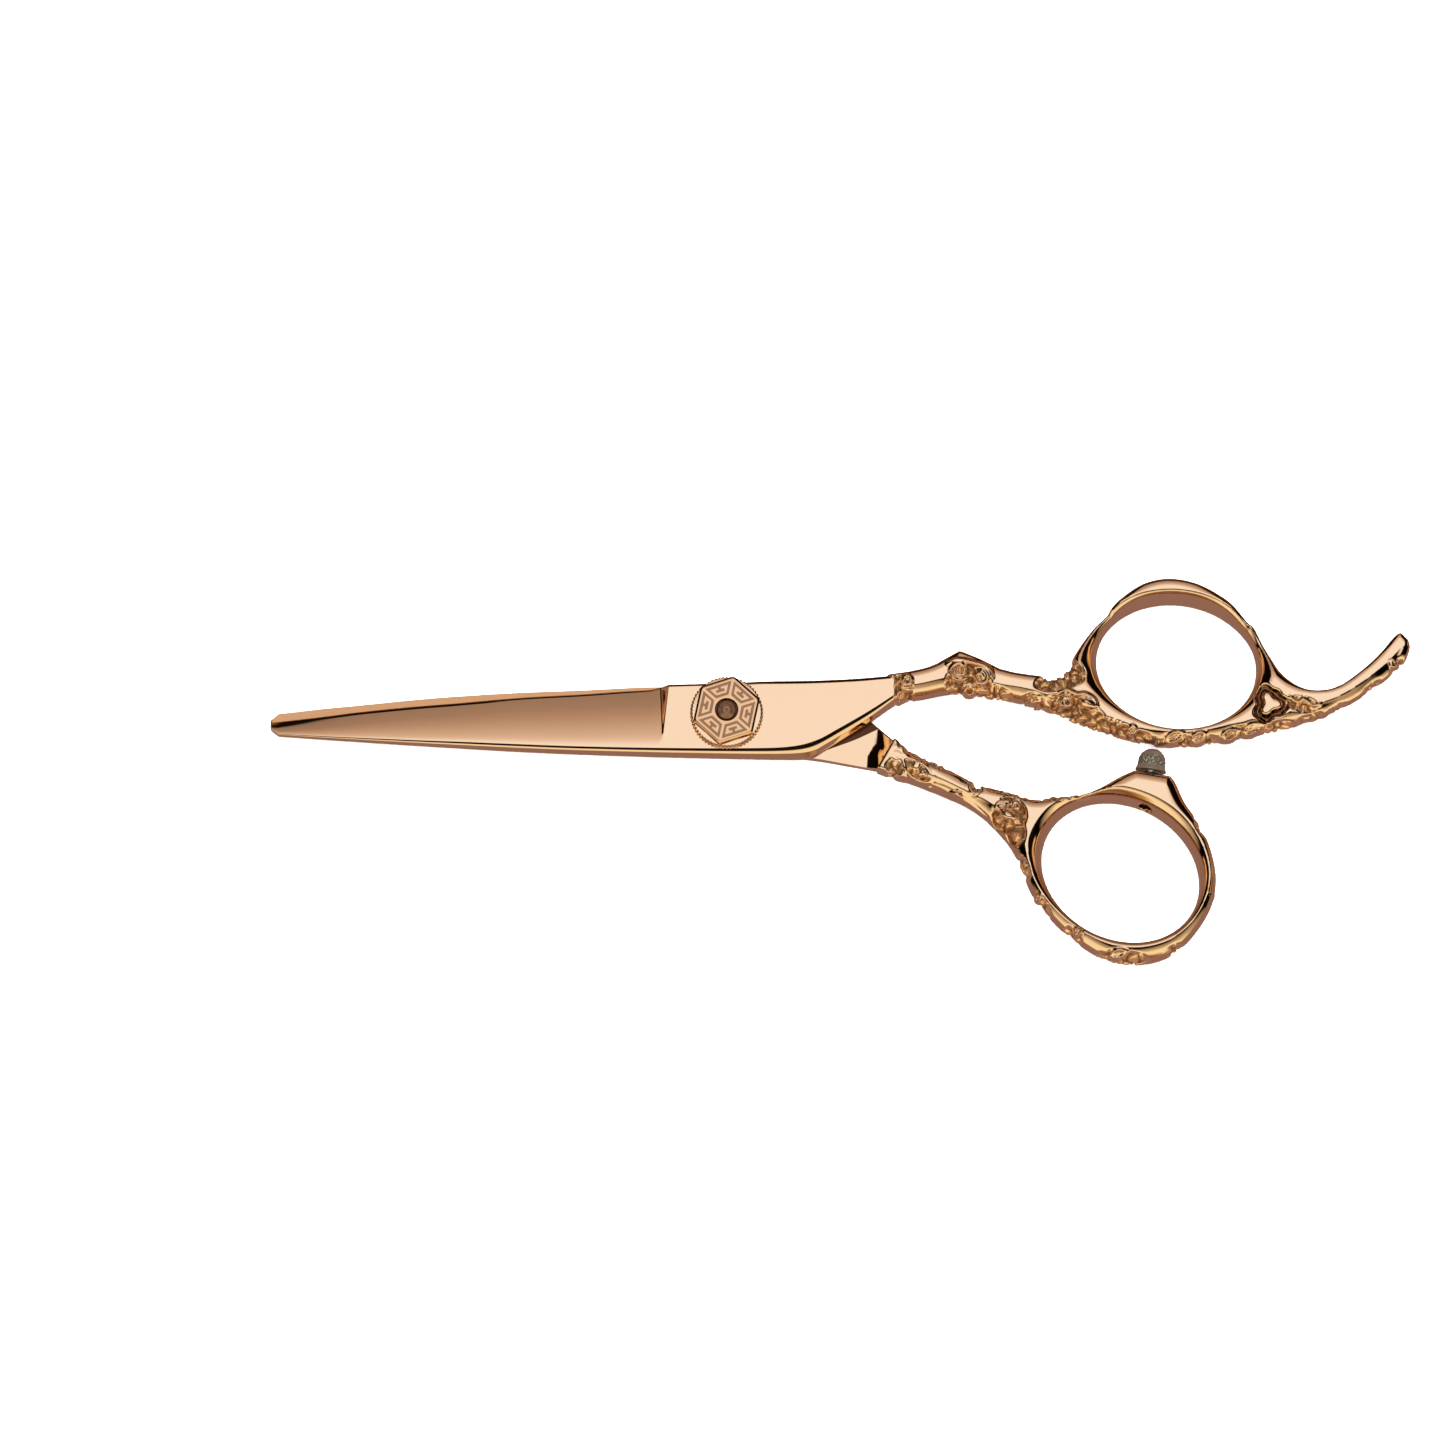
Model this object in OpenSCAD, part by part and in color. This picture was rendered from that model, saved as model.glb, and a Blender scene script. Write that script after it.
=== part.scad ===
// Hair cutting shears: two forged blades welded to cast handles, joined by a
// pivot screw with a click dial that sets the tension. Millimetres, +Z up.
// The shears lie flat and closed. The origin is on the pivot axis, at the back
// face of the pivot screw's head. The tips point along -X, the handles along +X.

/* [Blades] */
// Distance from the pivot axis to the blade tips
blade_l = 69; // [66:0.5:72]
// Thickness of each blade at the pivot
blade_t = 2.27; // [2:0.01:2.4]
// Thickness of the spines at the tips
tip_t = 1.3; // [1:0.1:1.6]
// Gap between the two ride faces
ride_gap = 0.06; // [0.04:0.01:0.1]

/* [Handles] */
// Thickness of the cast handles
handle_t = 5.6; // [5.2:0.1:6]
// Rounding of the handles' outer edges
handle_round = 1; // [0.6:0.1:1.1]
// Length of the finger ring's hole
finger_hole_l = 24.2; // [22:0.1:24.6]
// Width of the finger ring's hole
finger_hole_w = 19.2; // [17:0.1:19.6]
// Length of the thumb ring's hole
thumb_hole_l = 24.8; // [22:0.1:25]
// Width of the thumb ring's hole
thumb_hole_w = 20.4; // [18:0.1:20.6]

/* [Pivot] */
// Diameter of the pivot screw's shank
shank_d = 5; // [4.6:0.1:5.4]
// Diameter of the pivot screw's head
head_d = 9; // [8:0.1:9.4]
// Diameter of the screw's threaded end
thread_d = 4; // [3.6:0.1:4.2]
// Diameter of the dial's knurled rim
dial_d = 11; // [10.4:0.1:11.6]
// Width across the flats of the dial's hexagonal cap
cap_af = 9.1; // [8.8:0.1:9.4]
// Number of ridges on the dial's rim
dial_ridges = 40; // [24:2:48]
// Number of click notches under the dial
click_notches = 24; // [12:2:30]

/* [Bumper] */
// Diameter of the rubber bumper
bumper_d = 4.2; // [3.8:0.1:4.4]
// Length of the rubber bumper along its axis
bumper_l = 4; // [3.4:0.1:4]

/* [Hidden] */

$fn = 64;
eps = 0.01;
steel = [0.93, 0.66, 0.50];
dark_steel = [0.62, 0.40, 0.29];
spring_steel = [0.70, 0.70, 0.72];
nylon = [0.93, 0.92, 0.88];
smoke_rubber = [0.42, 0.38, 0.36];

// Heights above the plane that the shears lie on
ride_z = handle_t / 2;
finger_ride_z = ride_z + ride_gap / 2;
thumb_ride_z = ride_z - ride_gap / 2;
finger_face_z = finger_ride_z + blade_t;
thumb_face_z = thumb_ride_z - blade_t;

// Blades: where the grind ends, and the widths of the bevels
plunge_x = -9;
spine_bevel = 1.24;
tip_bevel = 0.3;
bevel_share = 0.62;
bevel_h = bevel_share * blade_t;
joint_x = 25;
grind_power = 2.2;

// Pivot stack, from the front blade's face upwards
running = 0.03;
bush_wall = 0.5;
washer_t = 0.3;
spring_t = 0.15;
spring_h = 0.4;
plate_t = 0.4;
washer_gap = 0.03;
seat_z = finger_face_z + washer_gap;
spring_z = seat_z + washer_t;
plate_z = spring_z + spring_h;
nut_z = plate_z + plate_t + 0.05;
cap_z = nut_z + 0.85;
cap_t = 1;
skirt_z = finger_face_z + 0.2;
stack_d = 8;
key_flats = 4;
end_d = 2.85;

// Bumper axis: from the boss on the thumb ring towards the finger handle
boss_at = [64.05, -9.0];
bumper_turn = -8;
stud_d = 2;
stud_l = 3.4;

// ---------- curves ----------

// A smooth or sharp tangent at point i of a closed list; a third value of 1 marks a corner
function at(p, i) = p[(i + len(p)) % len(p)];
function flat(q) = [q[0], q[1]];
function is_corner(q) = len(q) > 2;
function leaving(p, i) = is_corner(at(p, i))
    ? flat(at(p, i + 1)) - flat(at(p, i))
    : (flat(at(p, i + 1)) - flat(at(p, i - 1))) / 2;
function arriving(p, i) = is_corner(at(p, i))
    ? flat(at(p, i)) - flat(at(p, i - 1))
    : (flat(at(p, i + 1)) - flat(at(p, i - 1))) / 2;
function hermite(a, b, ma, mb, t) =
    a * (2 * t * t * t - 3 * t * t + 1) + ma * (t * t * t - 2 * t * t + t)
    + b * (3 * t * t - 2 * t * t * t) + mb * (t * t * t - t * t);
function steps_from(p, i, steps) = is_corner(at(p, i)) && is_corner(at(p, i + 1)) ? 1 : steps;
function smooth_loop(p, steps) = [
    for (i = [0 : len(p) - 1]) for (k = [0 : steps_from(p, i, steps) - 1])
        hermite(flat(p[i]), flat(at(p, i + 1)), leaving(p, i), arriving(p, i + 1), k / steps)
];
function unit(v) = v / norm(v);
function inward(p, i) =
    let (d = unit(at(p, i + 1) - at(p, i - 1)))
    p[i][0] > joint_x ? [-d[1], d[0]] : [0, i == 0 ? 1 : -1];
// The rounding shrinks towards the narrow end of the finger rest
function rounding(x) = min(1, 0.4 + (103.6 - x) / 8);
// Moves each point of a counter-clockwise loop inwards by d; ends on the joint stay on it
function inset(p, d) = [for (i = [0 : len(p) - 1]) p[i] + d * rounding(p[i][0]) * inward(p, i)];
function ellipse_loop(c, l, w, turn, n) = [
    for (i = [0 : n - 1]) let (a = 360 * i / n, u = l / 2 * cos(a), v = w / 2 * sin(a))
        c + [u * cos(turn) - v * sin(turn), u * sin(turn) + v * cos(turn)]
];

// Triangles between the lower chain from point i and the upper chain from point j, merged by x
function zip(p, i, j) = j - i < 2 ? []
    : p[i + 1][0] < p[j - 1][0] ? concat([[i, i + 1, j]], zip(p, i + 1, j))
    : concat([[i, j - 1, j]], zip(p, i, j - 1));

// A solid between copies of one loop: each level is [height, inset]
module stack(loop, levels, convex = false) {
    n = len(loop);
    m = len(levels);
    cap = convex ? [[for (i = [0 : n - 1]) i]] : zip(loop, 0, n - 1);
    polyhedron(
        points = [for (l = levels) for (q = inset(loop, l[1])) [q[0], q[1], l[0]]],
        faces = concat(
            cap,
            [for (k = [0 : m - 2]) for (i = [0 : n - 1]) for (f = [
                [k * n + i, (k + 1) * n + i, k * n + (i + 1) % n],
                [k * n + (i + 1) % n, (k + 1) * n + i, (k + 1) * n + (i + 1) % n]
            ]) f],
            [for (f = cap) [for (k = [len(f) - 1 : -1 : 0]) (m - 1) * n + f[k]]]
        ),
        convexity = 8
    );
}

// ---------- blades ----------

// Share of the way from the plunge line (0) to the tip (1)
function along(x) = (plunge_x - x) / (blade_l + plunge_x);
function spine_t(x) = blade_t + (tip_t - blade_t) * along(x);
function bevel(x) = spine_bevel + (tip_bevel - spine_bevel) * along(x);

// Outlines on the ride faces: y of the spine and of the cutting edge at x
function finger_spine(x) = -6.75 + 3.55 * pow((8 - x) / (blade_l + 5.5), 1.62);
function finger_edge(x) = 4.15 - 5.1 * pow(along(x), 1.32);
function thumb_spine(x) = 4.85 - 4.5 * pow(-x / blade_l, 1.65);
function thumb_edge(x) = -6 + 4.4 * pow(along(x), 1.3);

// Both tips are cut off across a small corner on the spine side
tip_corner = 1.2;
function tip_cut(x) = max(0, tip_corner - (x + blade_l));

// One cross-section: ride face, spine, bevel, then the convex ground face down to the edge
edge_land = 0.05;
face_steps = 5;
function section(x, spine, edge, side) =
    let (
        s = spine + side * 0.7 * tip_cut(x),
        ridge = s + side * bevel(x),
        t = spine_t(x)
    ) concat(
        [[x, edge, 0], [x, s, 0], [x, s, (1 - bevel_share) * t]],
        [for (k = [0 : face_steps]) let (u = k / face_steps)
            [x, ridge + (edge - ridge) * u, t - (t - edge_land) * pow(u, grind_power)]]
    );

module blade_loft(sections) {
    n = len(sections[0]);
    m = len(sections);
    polyhedron(
        points = [for (s = sections) for (q = s) q],
        faces = concat(
            [[for (i = [n - 1 : -1 : 0]) i]],
            [for (k = [0 : m - 2]) for (i = [0 : n - 1]) for (f = [
                [k * n + i, k * n + (i + 1) % n, (k + 1) * n + i],
                [k * n + (i + 1) % n, (k + 1) * n + (i + 1) % n, (k + 1) * n + i]
            ]) f],
            [[for (i = [0 : n - 1]) (m - 1) * n + i]]
        ),
        convexity = 4
    );
}

stations = [
    -blade_l, tip_corner - blade_l, 0.85 * -blade_l, 0.7 * -blade_l,
    0.55 * -blade_l, 0.4 * -blade_l, 0.25 * -blade_l, plunge_x
];

// Removes a corner along the edge from p to q, cut_w wide on top and cut_h deep
module edge_cut(p, q, z, cut_w, cut_h, up) {
    d = q - p;
    over = 0.4;
    translate([p[0], p[1], z]) rotate([0, 0, atan2(d[1], d[0])]) rotate([90, 0, 90])
        translate([0, 0, -over]) linear_extrude(norm(d) + 2 * over) polygon([
            [-1, up * -cut_h - up * cut_h / cut_w], [cut_w, 0], [cut_w, up * 1], [-1, up * 1]
        ]);
}

module pivot_hole(d, z0, z1) {
    translate([0, 0, z0 - eps]) cylinder(d = d, h = z1 - z0 + 2 * eps);
}

// The un-ground part of the front blade, from the plunge line to the handle
finger_heel = [
    [plunge_x, finger_spine(plunge_x)], [0, finger_spine(0)], [8, -6.75], [12.5, -6.6],
    [14.5, -5.7], [17.5, -3.7], [20.5, -1.8], [joint_x, 1.4], [joint_x, 6.1],
    [18, 5.45], [9, 5.15], [0, 4.85], [plunge_x, 4.6]
];
module finger_blade() {
    color(steel) difference() {
        union() {
            translate([0, 0, finger_ride_z]) blade_loft(
                [for (x = stations) section(x, finger_spine(x), finger_edge(x), 1)]);
            difference() {
                translate([0, 0, finger_ride_z]) linear_extrude(blade_t) polygon(finger_heel);
                edge_cut(finger_heel[0], finger_heel[3], finger_face_z, spine_bevel, bevel_h, 1);
                edge_cut(finger_heel[3], finger_heel[4], finger_face_z, spine_bevel, bevel_h, 1);
                edge_cut(finger_heel[4], finger_heel[5], finger_face_z, spine_bevel, bevel_h, 1);
                edge_cut(finger_heel[5], finger_heel[7], finger_face_z, spine_bevel, bevel_h, 1);
            }
            neck_ramp(finger_neck, 1);
        }
        pivot_hole(shank_d + 2 * bush_wall, finger_ride_z, finger_face_z);
    }
}

// Where a blade's shank thickens across the ride plane to meet its handle
ramp_x = 19;
ramp_r = 11;
ramp_h = 2;
finger_neck = [[ramp_x, 1.2], [joint_x, 1.9], [joint_x, 5.6], [ramp_x, 5]];
thumb_neck = [[ramp_x, -7.2], [joint_x, -8.8], [joint_x, -4.2], [ramp_x, -3.4]];
module neck_ramp(outline, side) {
    z0 = side > 0 ? finger_ride_z - ramp_h : thumb_ride_z - eps;
    axis_z = side > 0 ? finger_ride_z - ramp_r : thumb_ride_z + ramp_r;
    difference() {
        translate([0, 0, z0]) linear_extrude(ramp_h + eps) polygon(outline);
        translate([ramp_x, 0, axis_z]) rotate([90, 0, 0]) cylinder(r = ramp_r, h = 30, center = true);
    }
}

thumb_heel = [
    [plunge_x, thumb_edge(plunge_x) - 0.4], [0, -5.8], [9, -6.2], [16, -6.9], [21, -8],
    [joint_x, -9.2], [joint_x, -3.6], [20, 0.4], [15, 3.2], [10, 4.7], [5, 4.9],
    [0, thumb_spine(0)], [plunge_x, thumb_spine(plunge_x)]
];
module thumb_blade() {
    color(steel) difference() {
        union() {
            translate([0, 0, thumb_ride_z]) mirror([0, 0, 1]) mirror([0, 1, 0]) blade_loft(
                [for (x = stations) section(x, -thumb_spine(x), -thumb_edge(x), 1)]);
            difference() {
                translate([0, 0, thumb_face_z]) linear_extrude(blade_t) polygon(thumb_heel);
                edge_cut(thumb_heel[11], thumb_heel[12], thumb_face_z, spine_bevel, bevel_h, -1);
                edge_cut(thumb_heel[9], thumb_heel[11], thumb_face_z, spine_bevel, bevel_h, -1);
                edge_cut(thumb_heel[8], thumb_heel[9], thumb_face_z, spine_bevel, bevel_h, -1);
                edge_cut(thumb_heel[6], thumb_heel[8], thumb_face_z, spine_bevel, bevel_h, -1);
            }
            neck_ramp(thumb_neck, -1);
        }
        pivot_hole(shank_d, thumb_face_z, thumb_ride_z);
        pivot_hole(head_d + 2 * running, thumb_face_z, head_top_z);
        pivot_hole(stack_d + 2 * running, thumb_ride_z - washer_t, thumb_ride_z);
    }
}

// ---------- handles ----------

handle_levels = [
    [0, handle_round], [0.12 * handle_round, 0.55 * handle_round],
    [0.45 * handle_round, 0.15 * handle_round], [handle_round, 0],
    [handle_t - handle_round, 0], [handle_t - 0.45 * handle_round, 0.15 * handle_round],
    [handle_t - 0.12 * handle_round, 0.55 * handle_round], [handle_t, handle_round]
];
// The rings' holes are waisted: narrowest half-way through, wider at both faces
hole_flare = 1;
hole_levels = [
    [-0.5, -1.5 * hole_flare], [0.12 * handle_t, -0.45 * hole_flare],
    [0.3 * handle_t, -0.12 * hole_flare], [0.7 * handle_t, -0.12 * hole_flare],
    [0.88 * handle_t, -0.45 * hole_flare], [handle_t + 0.5, -1.5 * hole_flare]
];

finger_hole_at = [68.1, 7.5];
finger_hole_turn = -9;
finger_outline = [
    [joint_x, 1.4, 1], [29, 2.4], [33.5, 3.3], [37, 3], [42, 2.3], [47, 1.3], [52, -0.8], [57, -2.7],
    [61.5, -4.2], [66, -4.8], [72, -4.6], [78, -3.5], [84, -2.2], [90, -0.4], [95, 2.2],
    [99, 4.9], [102.3, 8.2], [103.4, 11.4], [102, 13.1], [99.5, 10.8], [96.5, 7.4], [93, 4.8],
    [90, 3.9], [87, 4.3], [84, 6.4], [82, 9.3], [79.5, 13.8], [76, 17.7], [71.5, 20.2],
    [67, 21], [63, 20.1], [59, 17.2], [56, 13.8], [53.5, 10.4], [51.5, 7.4], [49.5, 6],
    [46, 6.2], [41, 7], [38.5, 8.3], [35.2, 9.8, 1], [32.5, 8.2], [29, 6.9], [joint_x, 6.2, 1]
];
module finger_handle() {
    color(steel) difference() {
        stack(smooth_loop(finger_outline, 2), handle_levels);
        stack(ellipse_loop(finger_hole_at, finger_hole_l, finger_hole_w, finger_hole_turn, 48), hole_levels, true);
    }
}

thumb_hole_at = [59.5, -24.25];
thumb_hole_turn = -30.5;
thumb_outline = [
    [joint_x, -9.2, 1], [28.5, -10.6], [33, -12.4], [37.8, -14.9], [41.8, -18.4], [43.9, -21.3],
    [45, -25], [46.7, -28.4], [49.6, -32], [52.8, -35], [57.5, -37.6], [62.2, -38.4], [66.5, -37],
    [70.5, -33.5], [73.3, -29], [73.9, -24.5], [72.5, -18.8], [69.3, -14], [67, -9.4, 1],
    [61.3, -8.6, 1], [57.5, -10.5], [54.5, -12], [50, -12.5], [46.5, -13], [42, -11.6],
    [37.5, -10.4], [33, -8.1], [28.5, -5.6], [joint_x, -3.8, 1]
];
module thumb_handle() {
    color(steel) difference() {
        stack(smooth_loop(thumb_outline, 3), handle_levels);
        stack(ellipse_loop(thumb_hole_at, thumb_hole_l, thumb_hole_w, thumb_hole_turn, 48), hole_levels, true);
        on_bumper_axis() translate([0, 0, -8]) cylinder(d = stud_d + 2 * running, h = 9);
    }
}

// ---------- pivot ----------

head_top_z = 0.9;
module keyed(d, flats, h) {
    intersection() {
        cylinder(d = d, h = h);
        translate([-d / 2, -flats / 2, 0]) cube([d, flats, h]);
    }
}

// Shouldered screw: flush head with two spanner holes behind, keyed neck, threaded end with a turned dome
module pivot_screw() {
    key_z = finger_face_z;
    key_h = plate_z + plate_t - 0.15 - key_z;
    dome_r = 3;
    dome_h = 0.4;
    end_h = 0.5;
    thread_top = cap_z - 0.05;
    color(dark_steel) difference() {
        union() {
            cylinder(d = head_d, h = head_top_z);
            cylinder(d = shank_d - 2 * running, h = key_z);
            translate([0, 0, key_z - eps]) keyed(shank_d - 2 * running, key_flats, key_h + eps);
            cylinder(d = thread_d - 2 * running, h = thread_top);
            translate([0, 0, thread_top - eps]) cylinder(d = end_d, h = end_h);
            intersection() {
                translate([0, 0, thread_top]) cylinder(d = end_d, h = 2);
                translate([0, 0, thread_top + end_h + dome_h - dome_r]) sphere(r = dome_r);
            }
        }
        for (x = [-2.6, 2.6]) translate([x, 0, -eps]) cylinder(d = 1.2, h = 0.5);
        for (k = [0 : 3]) translate([0, 0, nut_z + 0.1 + 0.2 * k]) thread_groove();
    }
}
// Shallow turned grooves stand for the screw's thread
module thread_groove() {
    difference() {
        cylinder(d = thread_d + 1, h = 0.08);
        translate([0, 0, -eps]) cylinder(d = thread_d - 0.3, h = 0.08 + 2 * eps);
    }
}

module ring(d_out, d_in, h) {
    difference() {
        cylinder(d = d_out, h = h);
        translate([0, 0, -eps]) cylinder(d = d_in, h = h + 2 * eps);
    }
}

module pivot_bush() {
    color(nylon) translate([0, 0, finger_ride_z]) ring(shank_d + 2 * bush_wall, shank_d, blade_t);
}

module ride_washer() {
    color(nylon) translate([0, 0, thumb_ride_z - washer_t])
        ring(stack_d, shank_d + 2 * running, washer_t + ride_gap / 2);
}

module seat_washer() {
    color(nylon) translate([0, 0, seat_z]) ring(stack_d, shank_d + 2 * running, washer_t);
}

// Washer pressed into three waves
module wave_spring() {
    n = 48;
    waves = 3;
    amp = (spring_h - spring_t) / 2;
    radii = [stack_d / 2 - 0.1, shank_d / 2 + 0.2];
    function lift(i) = amp * (1 + cos(360 * waves * i / n));
    function ring_point(r, i, z) = [r * cos(360 * i / n), r * sin(360 * i / n), z];
    color(spring_steel) translate([0, 0, spring_z]) polyhedron(
        points = [for (i = [0 : n - 1]) for (q = [[0, 0], [1, 0], [1, 1], [0, 1]])
            ring_point(radii[q[0]], i, lift(i) + q[1] * spring_t)],
        faces = [for (i = [0 : n - 1]) for (j = [0 : 3])
            let (a = 4 * i + j, b = 4 * i + (j + 1) % 4, c = 4 * ((i + 1) % n))
            for (f = [[a, b, c + j], [b, c + (j + 1) % 4, c + j]]) f],
        convexity = 4
    );
}

// Hard washer keyed to the screw; its two pips sit in the dial's notches
module click_plate() {
    color(spring_steel) translate([0, 0, plate_z]) difference() {
        cylinder(d = stack_d, h = plate_t);
        translate([0, 0, -eps]) keyed(shank_d, key_flats + 2 * running, plate_t + 2 * eps);
    }
    color(spring_steel) for (a = [0, 180]) rotate([0, 0, a]) translate([3.25, 0, plate_z + plate_t - 0.1])
        cylinder(d = 0.4, h = 0.3);
}

// Knurled cup with a threaded hole; it covers the washer, spring and click plate
module dial_nut() {
    cup_d = stack_d + 0.3;
    notch_w = 0.55;
    knurl = 0.18;
    rim = [for (i = [0 : 2 * dial_ridges - 1]) let (a = 180 * i / dial_ridges)
        (dial_d / 2 - knurl * (i % 2)) * [cos(a), sin(a)]];
    color(steel) difference() {
        union() {
            translate([0, 0, skirt_z]) linear_extrude(nut_z + 0.2 - skirt_z) polygon(rim);
            translate([0, 0, nut_z]) cylinder(d = cap_af, h = cap_z - nut_z);
        }
        translate([0, 0, skirt_z - eps]) cylinder(d = cup_d, h = nut_z - skirt_z + eps);
        translate([0, 0, nut_z - 1]) cylinder(d = thread_d, h = 3);
        for (i = [0 : click_notches - 1]) rotate([0, 0, 360 * i / click_notches])
            translate([2.8, -notch_w / 2, nut_z - eps]) cube([0.9, notch_w, 0.25 + eps]);
    }
}

// Hexagonal cap with rounded corners and an etched fret in each of its six sectors
cap_turn = 18;
module dial_cap() {
    chamfer = 0.15;
    groove = 0.06;
    color(steel) translate([0, 0, cap_z]) rotate([0, 0, cap_turn]) difference() {
        intersection() {
            cylinder(d = cap_af / cos(30), h = cap_t, $fn = 6);
            rotate_extrude() polygon([
                [0, 0], [cap_af / 2 + 0.5, 0], [cap_af / 2 + 0.5, cap_t - chamfer],
                [cap_af / 2 + 0.5 - chamfer, cap_t], [0, cap_t]
            ]);
        }
        translate([0, 0, -eps]) cylinder(d = 3.4, h = cap_t + 2 * eps);
        for (k = [0 : 5]) rotate([0, 0, 30 + 60 * k]) translate([0, 0, cap_t - groove])
            linear_extrude(1) fret();
    }
}

// One sector's fret, mirror-symmetric: a trapezium frame with a T standing on its outer side
module fret() {
    w = 0.32;
    gap = 0.24;
    bar_x = 2.9;
    bar_l = 1.2;
    outer_x = cap_af / 2 - 0.55;
    inner_x = 2.12;
    half = function(x, margin) x * tan(30) - margin;
    difference() {
        polygon([[inner_x, -half(inner_x, gap)], [outer_x, -half(outer_x, gap)],
            [outer_x, half(outer_x, gap)], [inner_x, half(inner_x, gap)]]);
        polygon([[inner_x + w, -half(inner_x + w, gap + w)], [outer_x - w, -half(outer_x - w, gap + w)],
            [outer_x - w, half(outer_x - w, gap + w)], [inner_x + w, half(inner_x + w, gap + w)]]);
    }
    translate([bar_x, -bar_l / 2]) square([w, bar_l]);
    translate([bar_x, -w / 2]) square([outer_x - bar_x, w]);
}

// ---------- bumper ----------

module on_bumper_axis() {
    translate([boss_at[0], boss_at[1], ride_z]) rotate([0, 0, bumper_turn]) rotate([-90, 0, 0]) children();
}

// Rubber cap with a domed end and a small lip
module bumper() {
    r = bumper_d / 2;
    lip = 0.22;
    neck_h = 0.45;
    color(smoke_rubber) on_bumper_axis() difference() {
        rotate_extrude() union() {
            polygon([[0, neck_h], [r + lip, neck_h], [r + lip, neck_h + 0.25], [r, neck_h + 0.9],
                [r, bumper_l - r], [0, bumper_l - r]]);
            translate([0, bumper_l - r]) intersection() {
                circle(r = r);
                square([r, r]);
            }
        }
        translate([0, 0, neck_h - eps]) cylinder(d = stud_d, h = 1.8 + eps);
    }
}

// Threaded stud with a collar that the bumper sits on
module bumper_stud() {
    neck_h = 0.45;
    color(spring_steel) on_bumper_axis() {
        translate([0, 0, -stud_l]) cylinder(d = stud_d - 2 * running, h = stud_l + neck_h + 1.6);
        translate([0, 0, 0.12]) cylinder(d = 3.2, h = neck_h - 0.12);
    }
}

finger_blade();
finger_handle();
pivot_bush();
thumb_blade();
thumb_handle();
pivot_screw();
ride_washer();
seat_washer();
wave_spring();
bumper();
bumper_stud();
click_plate();
dial_nut();
dial_cap();
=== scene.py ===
"""Hair cutting shears, closed on a pale floor: the detailed model and its scene."""
import bpy
import math
import numpy as np
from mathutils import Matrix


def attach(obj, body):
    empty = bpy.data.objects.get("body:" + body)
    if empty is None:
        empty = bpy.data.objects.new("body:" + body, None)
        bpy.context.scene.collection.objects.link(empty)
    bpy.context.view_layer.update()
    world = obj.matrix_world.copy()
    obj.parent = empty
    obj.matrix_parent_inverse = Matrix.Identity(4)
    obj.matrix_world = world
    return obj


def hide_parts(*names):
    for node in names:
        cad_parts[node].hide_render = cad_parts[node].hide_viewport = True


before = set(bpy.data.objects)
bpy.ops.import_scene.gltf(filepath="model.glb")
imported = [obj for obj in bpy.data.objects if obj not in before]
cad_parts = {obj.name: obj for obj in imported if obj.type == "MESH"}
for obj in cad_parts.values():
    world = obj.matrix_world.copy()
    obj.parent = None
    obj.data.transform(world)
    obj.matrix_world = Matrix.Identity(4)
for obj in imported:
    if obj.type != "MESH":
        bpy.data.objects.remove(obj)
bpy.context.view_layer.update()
MM = 0.001


# ---------------------------------------------------------------- outlines

def cubics(a, b, leave, arrive, steps):
    """Points on a cubic from each a up to its b, with the tangents given at both ends."""
    t = (np.arange(steps) / steps)[None, :, None]
    a, b, m, n = (v[:, None] for v in (a, b, leave, arrive))
    out = (a * (2 * t**3 - 3 * t**2 + 1) + m * (t**3 - 2 * t**2 + t)
           + b * (3 * t**2 - 2 * t**3) + n * (t**3 - t**2))
    return out.reshape(-1, out.shape[-1])


def closed_curve(points, steps):
    """Smooth closed curve through points; a third value of 1 marks a sharp corner.
    A smooth point's tangent is half the chord between its neighbours."""
    p = np.array([q[:2] for q in points], float)
    sharp = np.array([len(q) > 2 for q in points])[:, None]
    ahead, behind = np.roll(p, -1, 0) - p, p - np.roll(p, 1, 0)
    leave = np.where(sharp, ahead, (ahead + behind) / 2)
    arrive = np.roll(np.where(sharp, behind, (ahead + behind) / 2), -1, 0)
    return cubics(p, np.roll(p, -1, 0), leave, arrive, steps)


def open_curve(points, steps):
    """Smooth open curve through points, whose end tangents lie along the chords."""
    p = np.array(points, float)
    d = np.diff(p, axis=0)
    tan = np.concatenate([d[:1], (d[1:] + d[:-1]) / 2, d[-1:]])
    return np.concatenate([cubics(p[:-1], p[1:], tan[:-1], tan[1:], steps), p[-1:]])


def outline_gap(x, y, loop):
    """Distance from each point to a closed polygon."""
    best = np.full(x.shape, 1e9)
    for a, b in zip(loop, np.roll(loop, -1, 0)):
        d = b - a
        t = np.clip(((x - a[0]) * d[0] + (y - a[1]) * d[1]) / max(d @ d, 1e-12), 0, 1)
        best = np.minimum(best, (x - a[0] - t * d[0])**2 + (y - a[1] - t * d[1])**2)
    return np.sqrt(best)


def is_inside(x, y, loop):
    """Even-odd test: is each point inside the closed loop?"""
    hit = np.zeros(x.shape, bool)
    for a, b in zip(loop, np.roll(loop, -1, 0)):
        if a[1] != b[1]:
            cross = (a[1] > y) != (b[1] > y)
            hit ^= cross & (x < (b[0] - a[0]) * (y - a[1]) / (b[1] - a[1]) + a[0])
    return hit


def step01(v):
    """Smooth step from 0 to 1."""
    v = np.clip(v, 0, 1)
    return v * v * (3 - 2 * v)


def turned_axes(x, y, centre, turn):
    """Distances of each point from centre along two axes turned by some degrees."""
    c, s = math.cos(math.radians(turn)), math.sin(math.radians(turn))
    dx, dy = x - centre[0], y - centre[1]
    return dx * c + dy * s, -dx * s + dy * c


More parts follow.
